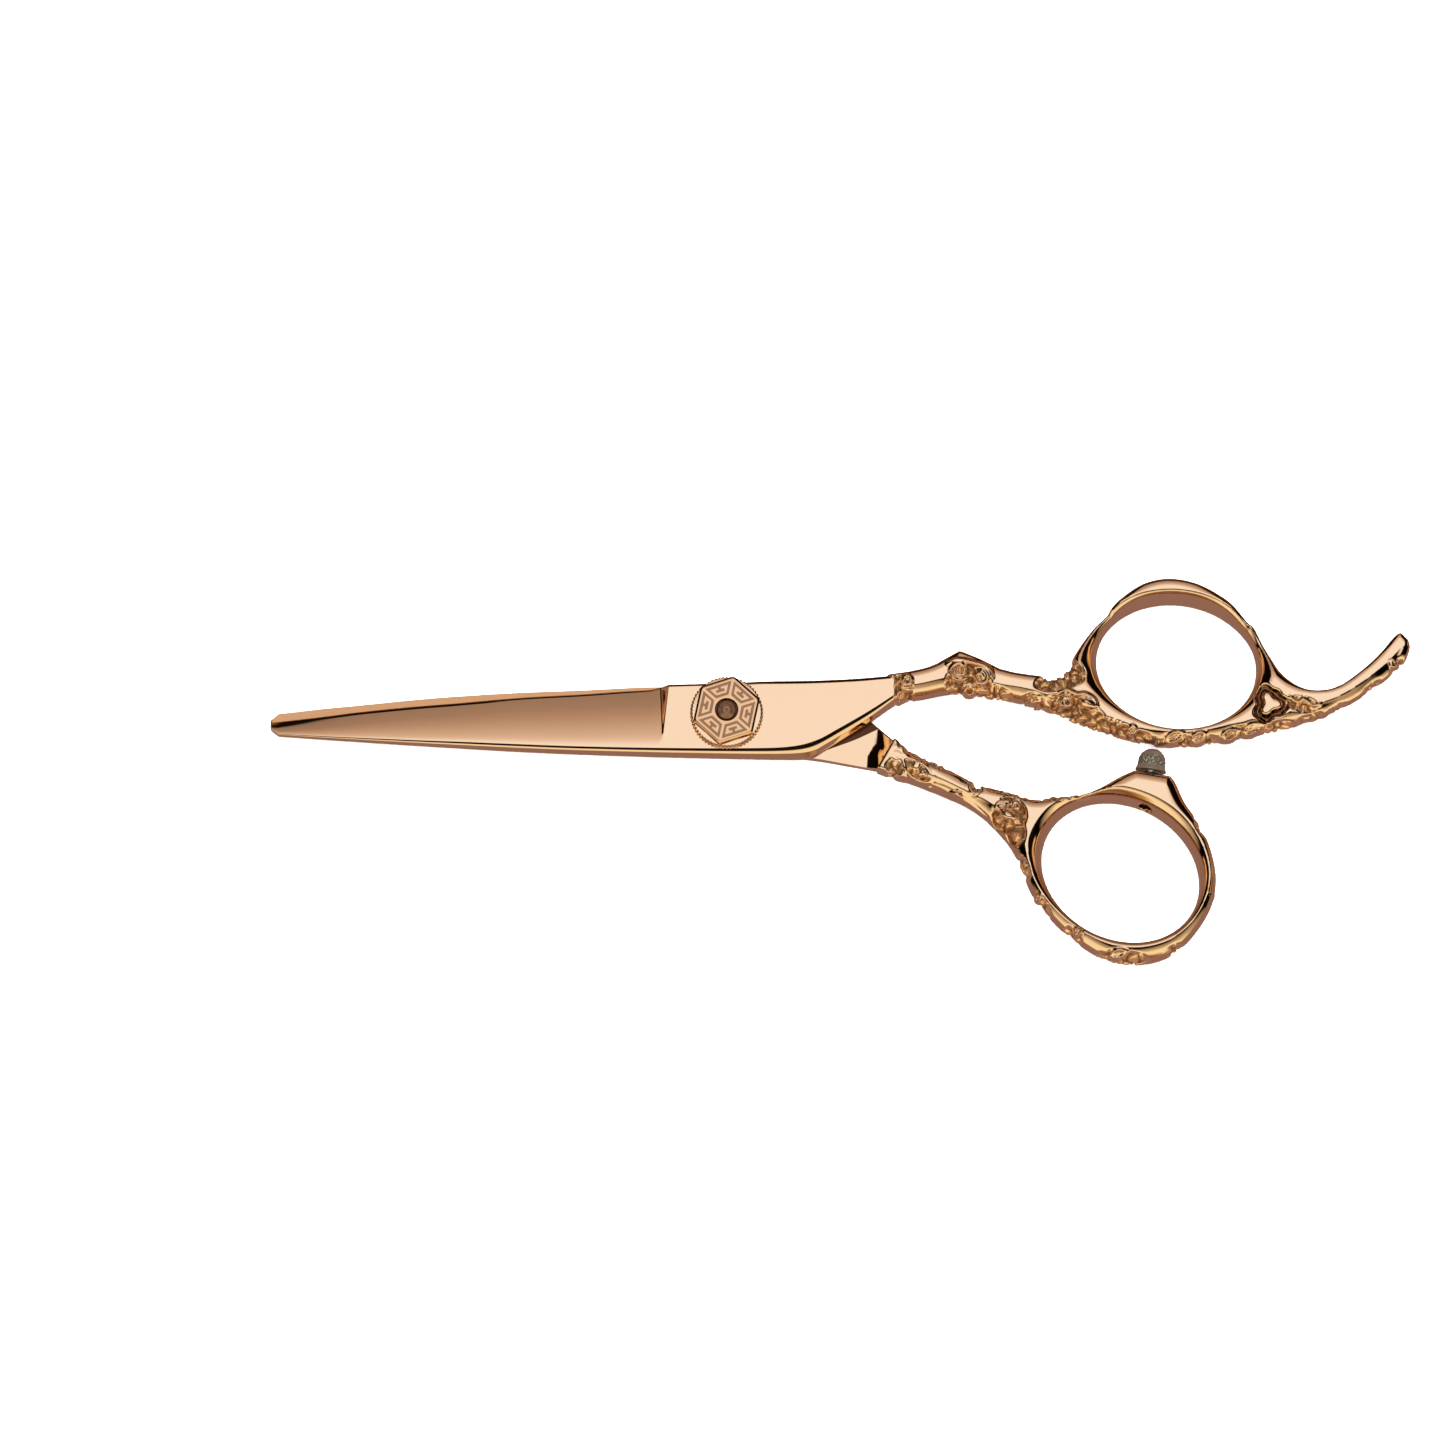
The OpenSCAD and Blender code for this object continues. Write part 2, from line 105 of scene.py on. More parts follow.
class Chart:
    """Values on a square grid over the plan, read back by cubic B-spline weights."""

    def __init__(self, low, high, step):
        self.low, self.step = np.array(low, float), step
        self.nx, self.ny = (int((h - l) / step) + 4 for l, h in zip(low, high))
        gx = self.low[0] + step * np.arange(self.nx)
        gy = self.low[1] + step * np.arange(self.ny)
        self.x, self.y = np.meshgrid(gx, gy, indexing="ij")

    def window(self, centre, reach):
        """The slice of the grid within reach of a box of points."""
        lo = np.clip(((centre.min(0) - reach - self.low) / self.step).astype(int), 0, None)
        hi = ((centre.max(0) + reach - self.low) / self.step).astype(int) + 2
        return slice(lo[0], hi[0]), slice(lo[1], hi[1])

    def read(self, values, x, y):
        """Smooth values at any points."""
        u = np.clip((x - self.low[0]) / self.step, 1, self.nx - 3.001)
        v = np.clip((y - self.low[1]) / self.step, 1, self.ny - 3.001)
        i, j = u.astype(int), v.astype(int)
        u, v = u - i, v - j

        def weights(t):
            return ((1 - t)**3 / 6, (3 * t**3 - 6 * t**2 + 4) / 6,
                    (-3 * t**3 + 3 * t**2 + 3 * t + 1) / 6, t**3 / 6)
        wu, wv = weights(u), weights(v)
        out = np.zeros(np.shape(x))
        for a in range(4):
            for b in range(4):
                out += wu[a] * wv[b] * values[i + a - 1, j + b - 1]
        return out


# ---------------------------------------------------------------- meshes

def to_object(name, verts, faces):
    """A smooth mesh object from millimetre vertices and a list of quad or triangle arrays."""
    mesh = bpy.data.meshes.new(name)
    verts = np.asarray(verts, np.float64) * MM
    faces = [np.asarray(f, np.int64) for f in faces if len(f)]
    loops = np.concatenate([f.ravel() for f in faces])
    sizes = np.concatenate([np.full(len(f), f.shape[1]) for f in faces])
    mesh.vertices.add(len(verts))
    mesh.vertices.foreach_set("co", verts.ravel())
    mesh.loops.add(len(loops))
    mesh.loops.foreach_set("vertex_index", loops.astype(np.int32))
    mesh.polygons.add(len(sizes))
    mesh.polygons.foreach_set("loop_start", (np.cumsum(sizes) - sizes).astype(np.int32))
    mesh.polygons.foreach_set("use_smooth", np.full(len(sizes), True))
    mesh.update(calc_edges=True)
    mesh.normals_split_custom_set_from_vertices(area_normals(verts, faces))
    o = bpy.data.objects.new(name, mesh)
    bpy.context.scene.collection.objects.link(o)
    return o


def shaped(o, node, body):
    """Piece o takes the place of a CAD node and rides on its body."""
    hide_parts(node)
    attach(o, body)
    return o


def area_normals(verts, faces):
    """Vertex normals weighted by face area, so that large flat faces stay flat."""
    out = np.zeros_like(verts)
    for f in faces:
        n = np.cross(verts[f[:, 2]] - verts[f[:, 0]], verts[f[:, -1]] - verts[f[:, 1]])
        for k in range(f.shape[1]):
            for c in range(3):
                out[:, c] += np.bincount(f[:, k], n[:, c], len(verts))
    return out / np.maximum(np.linalg.norm(out, axis=1), 1e-30)[:, None]


def grid_faces(m, n, wrap_m=False, wrap_n=False):
    """Quads of an m by n grid of vertices, closed round either way."""
    i, j = np.meshgrid(np.arange(m if wrap_m else m - 1), np.arange(n if wrap_n else n - 1),
                       indexing="ij")
    i2, j2 = (i + 1) % m, (j + 1) % n
    return np.stack([i * n + j, i2 * n + j, i2 * n + j2, i * n + j2], -1).reshape(-1, 4)


def end_fans(m, n):
    """Triangles that close a tube of m rings of n: one end on vertex m * n, the other on the next."""
    j = np.arange(n)
    ahead, last = (j + 1) % n, (m - 1) * n
    return np.concatenate([np.stack([np.full(n, m * n), j, ahead], 1),
                           np.stack([np.full(n, m * n + 1), last + ahead, last + j], 1)])


def outward(verts, faces):
    """The faces of a closed surface, turned over if it encloses a negative volume."""
    volume = sum(float(np.einsum("ij,ij->i", verts[f[:, 0]],
                                 np.cross(verts[f[:, k]], verts[f[:, k + 1]])).sum())
                 for f in faces for k in range(1, f.shape[1] - 1))
    return [f[:, ::-1] for f in faces] if volume < 0 else faces


SLOPE_STEP = 0.04       # half the distance over which a field's slope is measured, mm


def fit_surface(field, low, high, step, passes=3):
    """Mesh of the surface where field is 0 (negative inside): one vertex in each grid cell that it
    crosses, at the mean of the crossings on the cell's edges, then moved onto it along the slope."""
    n = [int(math.ceil((h - l) / step)) + 1 for l, h in zip(low, high)]
    axes = [l + step * np.arange(k) for l, k in zip(low, n)]
    v = np.stack([field(*np.meshgrid(axes[0], axes[1], [z], indexing="ij")) for z in axes[2]], -1)
    v = v.reshape(n)
    inside = v < 0
    corner = [(a, b, c) for a in (0, 1) for b in (0, 1) for c in (0, 1)]

    def shifted(arr, c):
        return arr[tuple(slice(k, arr.shape[q] - 1 + k) for q, k in enumerate(c))]
    count = sum(shifted(inside, c).astype(np.int8) for c in corner)
    active = (count > 0) & (count < 8)
    cell = np.argwhere(active)
    index = np.full(active.shape, -1, np.int64)
    index[active] = np.arange(len(cell))
    val = {c: v[tuple((cell + c).T)] for c in corner}
    total, hits = np.zeros((len(cell), 3)), np.zeros(len(cell))
    for c in corner:
        for q in range(3):
            if c[q] == 0:
                e = tuple(1 if k == q else c[k] for k in range(3))
                cross = (val[c] < 0) != (val[e] < 0)
                t = np.where(cross, val[c] / np.where(cross, val[c] - val[e], 1), 0)
                total += cross[:, None] * (np.array(c) + t[:, None] * (np.array(e) - np.array(c)))
                hits += cross
    verts = np.array(low) + step * (cell + total / hits[:, None])
    quads = []
    for q in range(3):
        r, s = (q + 1) % 3, (q + 2) % 3
        a = inside[tuple(slice(0, -1) if k == q else slice(1, -1) for k in range(3))]
        b = inside[tuple(slice(1, None) if k == q else slice(1, -1) for k in range(3))]
        at = np.argwhere(a != b)
        out = a[tuple(at.T)]
        at = at + [0 if k == q else 1 for k in range(3)]

        def vert(dr, ds):
            w = at.copy()
            w[:, r] += dr
            w[:, s] += ds
            return index[tuple(w.T)]
        ring = np.stack([vert(-1, -1), vert(0, -1), vert(0, 0), vert(-1, 0)], 1)
        quads.append(np.where(out[:, None], ring, ring[:, ::-1]))
    faces = np.concatenate(quads)
    h = SLOPE_STEP
    for _ in range(passes):
        x, y, z = verts.T
        f = field(x, y, z)
        g = np.stack([field(x + h, y, z) - field(x - h, y, z),
                      field(x, y + h, z) - field(x, y - h, z),
                      field(x, y, z + h) - field(x, y, z - h)], 1) / (2 * h)
        move = -(f / np.maximum((g * g).sum(1), 0.2))[:, None] * g
        far = np.linalg.norm(move, axis=1, keepdims=True)
        verts = verts + move * np.minimum(1, 0.5 * step / np.maximum(far, 1e-9))
    return verts, faces


def smax(a, b, k):
    """Larger of two fields, with the corner rounded over a width of about k."""
    h = np.maximum(k - np.abs(a - b), 0) / k
    return np.maximum(a, b) + h * h * k / 4


# ---------------------------------------------------------------- relief

TABLE = 4096                                # random jitters to choose from (a power of two)
HASH = (73856093, 19349663, 83492791)       # large odd numbers that mix a cell's place into a choice


def pebbles(x, y, z, cell, seed, curl):
    """Rounded pebbles, from 0 in the joints to 1 on top: one centre per cubic cell, jittered, and
    the difference between the distances to the nearest two centres. Each carries a small carved
    scroll, curl cells from one turn to the next."""
    table = np.random.default_rng(seed).random((TABLE, 3))
    p = np.stack([x, y, z], -1) / cell
    base = np.floor(p).astype(np.int64)
    one, two = np.full(p.shape[:-1], 9.0), np.full(p.shape[:-1], 9.0)
    dx, dy, hand = np.zeros(one.shape), np.zeros(one.shape), np.zeros(one.shape)
    for a in (-1, 0, 1):
        for b in (-1, 0, 1):
            for c in (-1, 0, 1):
                q = base + (a, b, c)
                key = (q[..., 0] * HASH[0] ^ q[..., 1] * HASH[1] ^ q[..., 2] * HASH[2]) & (TABLE - 1)
                off = q + 0.12 + 0.76 * table[key] - p
                d = (off**2).sum(-1)
                near = d < one
                dx, dy = np.where(near, off[..., 0], dx), np.where(near, off[..., 1], dy)
                hand = np.where(near, np.sign(table[key][..., 2] - 0.5), hand)
                two = np.minimum(two, np.maximum(one, d))
                one = np.minimum(one, d)
    one, two = np.sqrt(one), np.sqrt(two)
    ridge = np.clip((two - one) * 1.5, 0, 1)
    top = ridge * (2 - ridge) * (1 - 0.4 * np.clip(one, 0, 1)**2)
    return top * (0.86 + 0.14 * np.cos(2 * np.pi * one / curl + hand * np.arctan2(dy, dx)))


class Relief:
    """Raised lines, leaves and pebbled patches of a cast handle, drawn on a chart of the plan.
    height is the drawn relief, patch is 1 where pebbles show, and dark is painted shade in the recesses."""

    def __init__(self, chart):
        self.chart = chart
        shape = chart.x.shape
        self.height, self.patch, self.dark = np.zeros(shape), np.zeros(shape), np.zeros(shape)

    def ground(self, centre, size, turn=0, sink=0.25, edge=0.5, dark=1.0, strength=1.0):
        """A sunk elliptical patch of pebbles, given painted shade as strong as dark."""
        w = self.chart.window(np.array([centre]), max(size) + edge)
        u, v = turned_axes(self.chart.x[w], self.chart.y[w], centre, turn)
        r = np.sqrt((u / size[0])**2 + (v / size[1])**2)
        m = 1 - step01((r - 1) * min(size) / edge + 0.5)
        self.patch[w] = np.maximum(self.patch[w], m * strength)
        self.dark[w] = np.maximum(self.dark[w], m * dark)
        self.height[w] = np.minimum(self.height[w], -sink * m)

    def line(self, points, width, height, taper=0.3, groove=0.12, dark=0.7):
        """A raised round line with a shallow groove on both sides, thinner towards its ends. Painted shade
        darkens the grooves and is taken off the line's top.
        """
        p = np.asarray(points, float)
        w = self.chart.window(p, width * 2.5)
        x, y = self.chart.x[w], self.chart.y[w]
        best, size = np.full(x.shape, 1e9), np.full(x.shape, width)
        along = np.linspace(0, 1, len(p))
        for k in range(len(p) - 1):
            a, d = p[k], p[k + 1] - p[k]
            t = np.clip(((x - a[0]) * d[0] + (y - a[1]) * d[1]) / max(d @ d, 1e-12), 0, 1)
            r = np.hypot(x - a[0] - t * d[0], y - a[1] - t * d[1])
            s = along[k] + t * (along[k + 1] - along[k])
            wide = width * (taper + (1 - taper) * np.sqrt(np.clip(np.sin(np.pi * s), 0, 1)))
            close = r / wide < best
            size = np.where(close, wide, size)
            best = np.where(close, r / wide, best)
        top = height * size / width * np.sqrt(np.clip(1 - best**2, 0, 1))
        beside = groove * np.exp(-((best - 1.25) / 0.35)**2)
        h = self.height[w]
        self.height[w] = np.where(best < 1, np.maximum(h, top + 0.4 * h), h - beside)
        self.dark[w] = np.maximum(self.dark[w] * (1 - 0.75 * (best < 0.9)),
                                  dark * np.exp(-((best - 1.25) / 0.4)**2))
        self.patch[w] *= 0.15 + 0.85 * step01((best - 0.9) / 0.5)

    def spiral(self, centre, start, end, turns, phase, width, height):
        """A line that winds from one radius to another; negative turns wind it clockwise."""
        t = np.linspace(0, 1, 26)
        a = np.radians(phase) + 2 * np.pi * turns * t
        r = start + (end - start) * t
        self.line(np.stack([centre[0] + r * np.cos(a), centre[1] + r * np.sin(a)], 1), width, height)

    def vine(self, points, width, height):
        """A raised line along a smooth curve through points."""
        self.line(open_curve(points, 6), width, height)

    def leaf(self, root, tip, width, height):
        """A pointed leaf with a raised rim and a midrib."""
        root, tip = np.array(root, float), np.array(tip, float)
        d = tip - root
        side = np.array([-d[1], d[0]]) / np.linalg.norm(d) * width
        t = np.linspace(0, 1, 12)[:, None]
        for s in (1, -1):
            self.line(root + d * t + side * s * np.sin(np.pi * t) * (1 - 0.3 * t), 0.26, height)
        self.line(root + d * t * 0.85, 0.2, height * 0.7)

    def soften(self):
        """Rounds every drawn edge a little."""
        for axis in (0, 1, 0, 1):
            h = self.height
            self.height = (np.roll(h, 1, axis) + 2 * h + np.roll(h, -1, axis)) / 4

    def island(self, centre, size, lobes, turn, groove, depth):
        """A smooth lobed island left standing in a carved groove, with painted shade in the groove."""
        w = self.chart.window(np.array([centre]), size * 2 + groove)
        dx, dy = self.chart.x[w] - centre[0], self.chart.y[w] - centre[1]
        r, a = np.hypot(dx, dy), np.arctan2(dy, dx) - math.radians(turn)
        edge = size * (1 + 0.3 * np.cos(lobes * a) + 0.05 * np.cos(2 * a + 1))
        out = (r - edge) / (groove * (1 + 0.16 * np.cos(7 * a + 1)))
        cut = np.clip(1 - ((out - 0.55) / 0.62)**2, 0, 1)
        self.height[w] = np.minimum(self.height[w] * (1 - (out < 0.1)), -depth * cut)
        self.patch[w] *= (out > 0.9)
        self.dark[w] = np.maximum(self.dark[w] * (out > 0.8), 2 * cut)


# ---------------------------------------------------------------- handles

MID, HALF = 2.8, 2.62   # height of the handles' middle, and half their thickness
WAIST = 1.4             # height at which the rings' holes are narrowest
PEBBLE = 1.4            # size of the relief's pebbles
LIP_SOFT = 0.35         # rounding of the holes' rims above and below the centre


def ellipse_gap(x, y, centre, a, b, turn):
    """Signed distance to an ellipse, to first order near it (negative inside)."""
    u, v = turned_axes(x, y, centre, turn)
    q = np.sqrt((u / a)**2 + (v / b)**2)
    return q * (q - 1) / np.maximum(np.sqrt((u / a**2)**2 + (v / b**2)**2), 1e-6)


class Handle:
    """A cast handle: its outline extruded with round sides, a waisted ring hole, and relief.
    d is the signed distance to the outline, and down is 1 where that side faces the front."""

    def __init__(self, outline, hole, low, high, seed):
        self.hole, self.seed, self.low, self.high = hole, seed, low, high
        self.chart = Chart(low, high, 0.11)
        loop = closed_curve(outline, 6)
        d = outline_gap(self.chart.x, self.chart.y, loop)
        self.d = np.where(is_inside(self.chart.x, self.chart.y, loop), -d, d)
        self.relief = Relief(self.chart)
        down = np.clip(-np.gradient(self.d, self.chart.step, axis=1), -1, 1)
        for _ in range(10):
            down = (down + np.roll(down, 1, 0) + np.roll(down, -1, 0)
                    + np.roll(down, 1, 1) + np.roll(down, -1, 1)) / 5
        self.down = down
        # What the two handles differ in: radius of the sides, how sharp they are along x, half
        # thickness, a drilled bore, and the hole's lip (its size, its lean and how it widens sideways)
        self.edge, self.lip, self.lean, self.wide = 1.1, 1.5, 2, 1.7
        self.crisp = lambda x: 1.0
        self.half = lambda x, y: HALF
        self.bore = None

    def round(self, x, y):
        """Width over which the sides are rounded: larger where they face the front."""
        return (self.edge + 0.85 * (1 + self.chart.read(self.down, x, y))) * self.crisp(x)

    def sideways(self, x, y):
        """0 above and below the hole's centre, 1 to its left and right."""
        dx, dy = x - self.hole[0][0], y - self.hole[0][1]
        return dx**4 / np.maximum(dx * dx + dy * dy, 1e-6)**2

    def raised(self, x, y, z):
        """How far the relief stands out (or in) at a point."""
        h = self.chart.read(self.relief.height, x, y)
        m = self.chart.read(self.relief.patch, x, y)
        some = m > 0.02
        if some.any():
            xb, yb, zb = (np.broadcast_to(v, h.shape)[some] for v in (x, y, z))
            sway = 0.35 * np.sin(xb * 1.7 + yb) * np.cos(yb * 2.1 - zb)
            p = pebbles(xb + sway, yb - sway, zb * 0.8, PEBBLE, self.seed, curl=0.5)
            flank = 0.65 + 0.35 * step01(np.abs(zb - MID) / HALF * 1.8 - 0.6)
            h[some] += m[some] * (0.72 * p - 0.34) * flank
        return h

    def field(self, x, y, z):
        """Signed distance to the handle, near enough close to it (negative inside)."""
        x, y, z = np.broadcast_arrays(x, y, z)
        d = self.chart.read(self.d, x, y)
        w = np.abs(z - MID)
        gap = ellipse_gap(x, y, *self.hole)
        f = smax(d, w - self.half(x, y), self.round(x, y))
        near = np.abs(f) < 1.3
        r = np.zeros(f.shape)
        r[near] = self.raised(x[near], y[near], z[near]) * step01((gap[near] - 0.5) / 0.7)
        f = f - r
        up = np.clip((z - WAIST) / (MID + HALF - WAIST), 0, 1)
        rim = 0.4 + 0.6 * step01((y - self.hole[0][1]) / self.hole[2] + 0.7)
        flare = self.lip * rim * up**self.lean + 0.7 * np.clip(1 - z / WAIST, 0, 1)**2
        f = smax(f, flare - gap, LIP_SOFT + self.wide * self.sideways(x, y))
        if self.bore:
            f = np.maximum(f, self.bore(x, y, z))
        return np.maximum(f, 0.03 - z)

    def build(self, name, step):
        """The mesh, with how much painted shade and how pebbled each of its points is."""
        verts, faces = fit_surface(self.field, (*self.low, -0.4), (*self.high, 6.2), step)
        o = to_object(name, verts, [faces])
        x, y, z = verts.T
        dark = self.chart.read(self.relief.dark, x, y)
        patch = self.chart.read(self.relief.patch, x, y)
        raised = self.raised(x, y, z)
        bumps = raised - self.chart.read(self.relief.height, x, y)
        # Painted shade grows with how deep a point lies in a joint between pebbles or in a carved groove
        hollow = np.where(patch > 0.2, (-0.02 - bumps) / 0.2, (-0.12 - raised) / 0.32).clip(0, 1)
        for key, values in (("dark", dark * (0.12 + 1.3 * hollow)), ("patch", patch)):
            a = o.data.attributes.new(key, "FLOAT", "POINT")
            a.data.foreach_set("value", np.clip(values, 0, 1).astype(np.float32))
        return o


finger = Handle(
    [[24.3, 1.3, 1], [27.4, 2.15], [30, 2.6], [33.3, 3.25], [36.5, 3.1], [40, 2.55], [44, 2], [47, 1.2],
     [50, 0], [53.5, -1.6], [57, -2.75], [61.5, -4.2], [66, -4.8], [72, -4.6], [78, -3.5], [84, -2.2],
     [90, -0.4], [95, 2.2], [99, 4.9], [101.8, 7.3], [102.9, 8.7], [103.5, 10.5], [103.3, 11.6, 1],
     [102.1, 12.8, 1], [101.1, 12.1], [98.9, 9.5], [96.5, 7.2], [93, 4.6], [90, 3.7], [87, 4.1],
     [84, 6.3], [81.8, 9.8], [80, 13.2], [79.15, 14.0, 1], [78.6, 14.6, 1], [76, 17.5], [71.5, 20.1],
     [67, 20.95], [63, 20.1], [59.6, 17.8], [58.1, 16.2, 1], [57.75, 15.4, 1],
     [55.5, 13.2], [53.2, 10], [51.8, 7.6], [50.3, 6.15], [48, 5.9], [44, 6.4], [41.5, 7, 1],
     [38.5, 8.5], [36, 9.55], [35.2, 9.8, 1], [33.6, 8.9], [31, 7.5], [28, 6.7], [24.3, 6.15, 1]],
    ((68.1, 7.77), 12.1, 9.6, -9), (23.6, -6.2), (105, 22.4), 11)
finger.crisp = lambda x: 1 - 0.45 * step01((x - 84) / 5)


def rest_half(x, y):
    """Half thickness of the finger handle: the rest thins towards its tip and cants on its lower side."""
    lower = np.clip(finger.chart.read(finger.down, x, y), 0, 1)
    inward = np.clip(2.6 + finger.chart.read(finger.d, x, y), 0, 2.6)
    return HALF - 1.1 * step01((x - 84) / 19) - 0.15 * inward * lower * step01((x - 83) / 5)


finger.half = rest_half

thumb = Handle(
    [[22.7, -8.4, 1], [28.5, -10.8], [33, -12.6], [37.8, -15.1], [41.6, -18.7], [43.7, -21.8],
     [45, -25.2], [46.7, -28.6], [49.6, -32.1], [52.8, -35], [57, -37.6], [60.5, -38.4], [64, -38.1],
     [67.2, -36.9], [70, -34.4], [72.4, -31], [73.7, -28, 1], [73.9, -24.5], [73.1, -20.6],
     [71.6, -17], [69.3, -13.6], [68, -10.7], [67.2, -9.5, 1], [61.7, -8.55, 1], [59.4, -9.6],
     [56, -11.5], [53.5, -12.3], [49.5, -12.6], [46.5, -13.1], [42, -11.7], [37.5, -10.5],
     [33, -8.1], [28.5, -6.0], [25.35, -3.75, 1]],
    ((59.5, -23.98), 12.4, 10.2, -30.5), (21.6, -40), (75.4, -2.2), 23)
thumb.edge, thumb.lip, thumb.lean, thumb.wide = 1.5, 1.9, 2.6, 0.5
thumb.crisp = lambda x: 0.2 + 0.8 * step01((x - 25.4) / 2.4)

STUD_AT, STUD_TURN = np.array([64.05, -9.0]), math.radians(8)
STUD_DIR = np.array([math.sin(STUD_TURN), math.cos(STUD_TURN)])
BORE_R, BORE_DEPTH = 1.08, 9


def stud_bore(x, y, z):
    """The drilled hole for the bumper's stud, from the boss to the ring's inside."""
    s = (x - STUD_AT[0]) * STUD_DIR[0] + (y - STUD_AT[1]) * STUD_DIR[1]
    across = (x - STUD_AT[0]) * STUD_DIR[1] - (y - STUD_AT[1]) * STUD_DIR[0]
    return np.minimum(BORE_R - np.hypot(across, z - MID), s + BORE_DEPTH)


thumb.bore = stud_bore


def carve_finger(r):
    """Relief of the finger handle: collar, scrolls, bead clusters, leaves, island and rest."""
    r.ground((26.4, 3.4), (1.7, 2.5), 10)
    r.spiral((27.2, 4.9), 0.25, 1.0, 1.4, 30, 0.34, 0.5)
    r.spiral((26.4, 2.6), 0.2, 0.9, 1.3, 200, 0.32, 0.45)
    r.ground((36.6, 4.6), (3.4, 2.7), -12)
    r.ground((41, 3.2), (2.3, 0.9), -22)
    r.spiral((35.2, 6.5), 0.3, 1.6, 1.6, 120, 0.42, 0.65)
    r.spiral((38.4, 5.4), 0.3, 1.35, 1.5, -60, 0.4, 0.6)
    r.spiral((36.6, 3.6), 0.25, 1.1, 1.4, 10, 0.36, 0.5)
    r.vine([[33.2, 7.4], [34.8, 8.2], [37.2, 7.7], [39.6, 6.9], [40.4, 5.2]], 0.42, 0.55)
    r.ground((46.5, 1.6), (1.7, 1.4), -20)
    r.leaf((45, 1.2), (47.8, 2.6), 0.9, 0.5)
    r.spiral((46.9, 1.4), 0.2, 0.7, -1.3, 180, 0.3, 0.4)
    r.ground((50.2, 5.1), (3.4, 1.5), 12, sink=0.45)
    r.ground((52.2, 6.4), (1.6, 2.1), 60, sink=0.45)
    r.ground((53, 0.3), (4.6, 1.9), -24, sink=0.35)
    r.ground((58.5, -2.7), (4.2, 1.5), -20)
    r.vine([[50.2, 3.3], [51.6, 3.5], [53, 2.8], [54.2, 2.9], [55.5, 2.1], [56.2, 0.8]], 0.4, 0.55)
    r.line([[53.6, 1.9], [55.4, 1.0]], 0.78, 0.75, taper=0.6)
    r.spiral((51.4, 1.6), 0.25, 1.05, 1.4, 90, 0.36, 0.5)
    r.ground((62.4, -3.8), (2.6, 1.0), -12)
    r.spiral((61.2, -2.6), 0.2, 0.8, 1.3, 0, 0.3, 0.4)
    r.ground((67.9, -3.9), (1.7, 0.8), -4)
    r.ground((71.8, -4.2), (2.4, 0.8), 2)
    r.ground((77.3, -2.9), (2.1, 0.8), 14)
    for a, b in (((66.2, -4.4), (69.2, -2.9)), ((70.2, -4.4), (72.6, -3)),
                 ((74.6, -3.9), (77.8, -2.5)), ((77.9, -3.2), (80.9, -1.5))):
        r.leaf(a, b, 0.75, 0.42)
    r.ground((83.2, -2.1), (2.2, 0.8), 14)
    r.ground((88.2, -0.6), (1.9, 0.6), 20, strength=0.5)
    r.ground((92.4, 0.9), (1.6, 0.5), 31, strength=0.4)
    r.ground((97.6, 4.3), (1.5, 0.45), 40, strength=0.4)
    r.island((82.2, 1.5), 1.45, 3, 115, 1.05, 0.8)
    r.ground((87.1, 1.4), (2.3, 1.0), -12, sink=0.4)
    r.vine([[85, 2.6], [86.4, 1.7], [87.3, 2.1], [88.8, 1.2], [90, 1.5]], 0.34, 0.5)
    r.ground((101.4, 7.4), (1.4, 0.5), 62)
    r.spiral((100.9, 7.8), 0.2, 0.7, 1.3, 60, 0.3, 0.3)


def carve_thumb(r):
    """Relief of the thumb handle: almond and tendril, eroded edge, bead cluster, ring patches."""
    r.ground((25.4, -8.3), (1.3, 1.2), -20)
    r.spiral((25.6, -6.6), 0.2, 0.8, 1.3, 30, 0.3, 0.4)
    r.ground((28.8, -8.8), (2.2, 1.0), -40, sink=0.3)
    r.vine([[26.6, -6.9], [28.8, -7.3], [30.4, -8.7], [30.9, -10.4], [29, -10.3], [27.3, -8.9],
                       [26.5, -6.9]], 0.34, 0.5)
    r.spiral((28.5, -8.2), 0.15, 0.6, 1.3, 0, 0.28, 0.45)
    r.spiral((29.5, -9.3), 0.15, 0.5, -1.3, 90, 0.26, 0.4)
    r.vine([[30.4, -10.5], [33, -11.5], [35.4, -12.9], [37.5, -14.6], [39.6, -16.2]], 0.42, 0.5)
    r.ground((30, -6.9), (4.6, 0.7), -27, sink=0.1, dark=0.6, strength=0.45)
    r.ground((41, -11.7), (5, 0.55), -15, sink=0.1, dark=0.6, strength=0.45)
    r.ground((50.5, -12.9), (5, 0.5), 3, sink=0.1, dark=0.6, strength=0.45)
    r.ground((37.6, -11.6), (0.9, 0.9), 0, sink=0.5)
    r.vine([[36.6, -11], [37.2, -12.2], [38.4, -12.3]], 0.3, 0.4)
    r.ground((42.7, -15.6), (2.5, 2.6), 15, sink=0.45, edge=0.3)
    r.ground((43.7, -18.1), (1.3, 2.1), 10, sink=0.45, edge=0.3)
    r.line([[41.6, -15.4], [43.5, -16.1]], 0.75, 0.7, taper=0.6)
    r.leaf((40.4, -14.8), (42.9, -13.6), 0.7, 0.4)
    r.spiral((43.6, -14.3), 0.2, 0.7, 1.3, 40, 0.3, 0.4)
    r.ground((44.6, -23.9), (1.0, 1.9), 15)
    r.ground((47.5, -29.8), (0.9, 2.0), 32)
    r.spiral((46.9, -28.3), 0.2, 0.6, 1.2, 0, 0.26, 0.36)
    r.ground((52.2, -34), (1.5, 0.9), -42)
    r.spiral((52.9, -33.5), 0.2, 0.7, 1.2, 0, 0.3, 0.42)
    r.ground((59.6, -37.4), (3.6, 0.8), -4)
    r.leaf((57.6, -37.3), (60.6, -36.6), 0.6, 0.36)
    r.ground((67.6, -36.2), (1.3, 0.6), 25)
    r.ground((71.6, -17.2), (0.7, 1.7), 25)


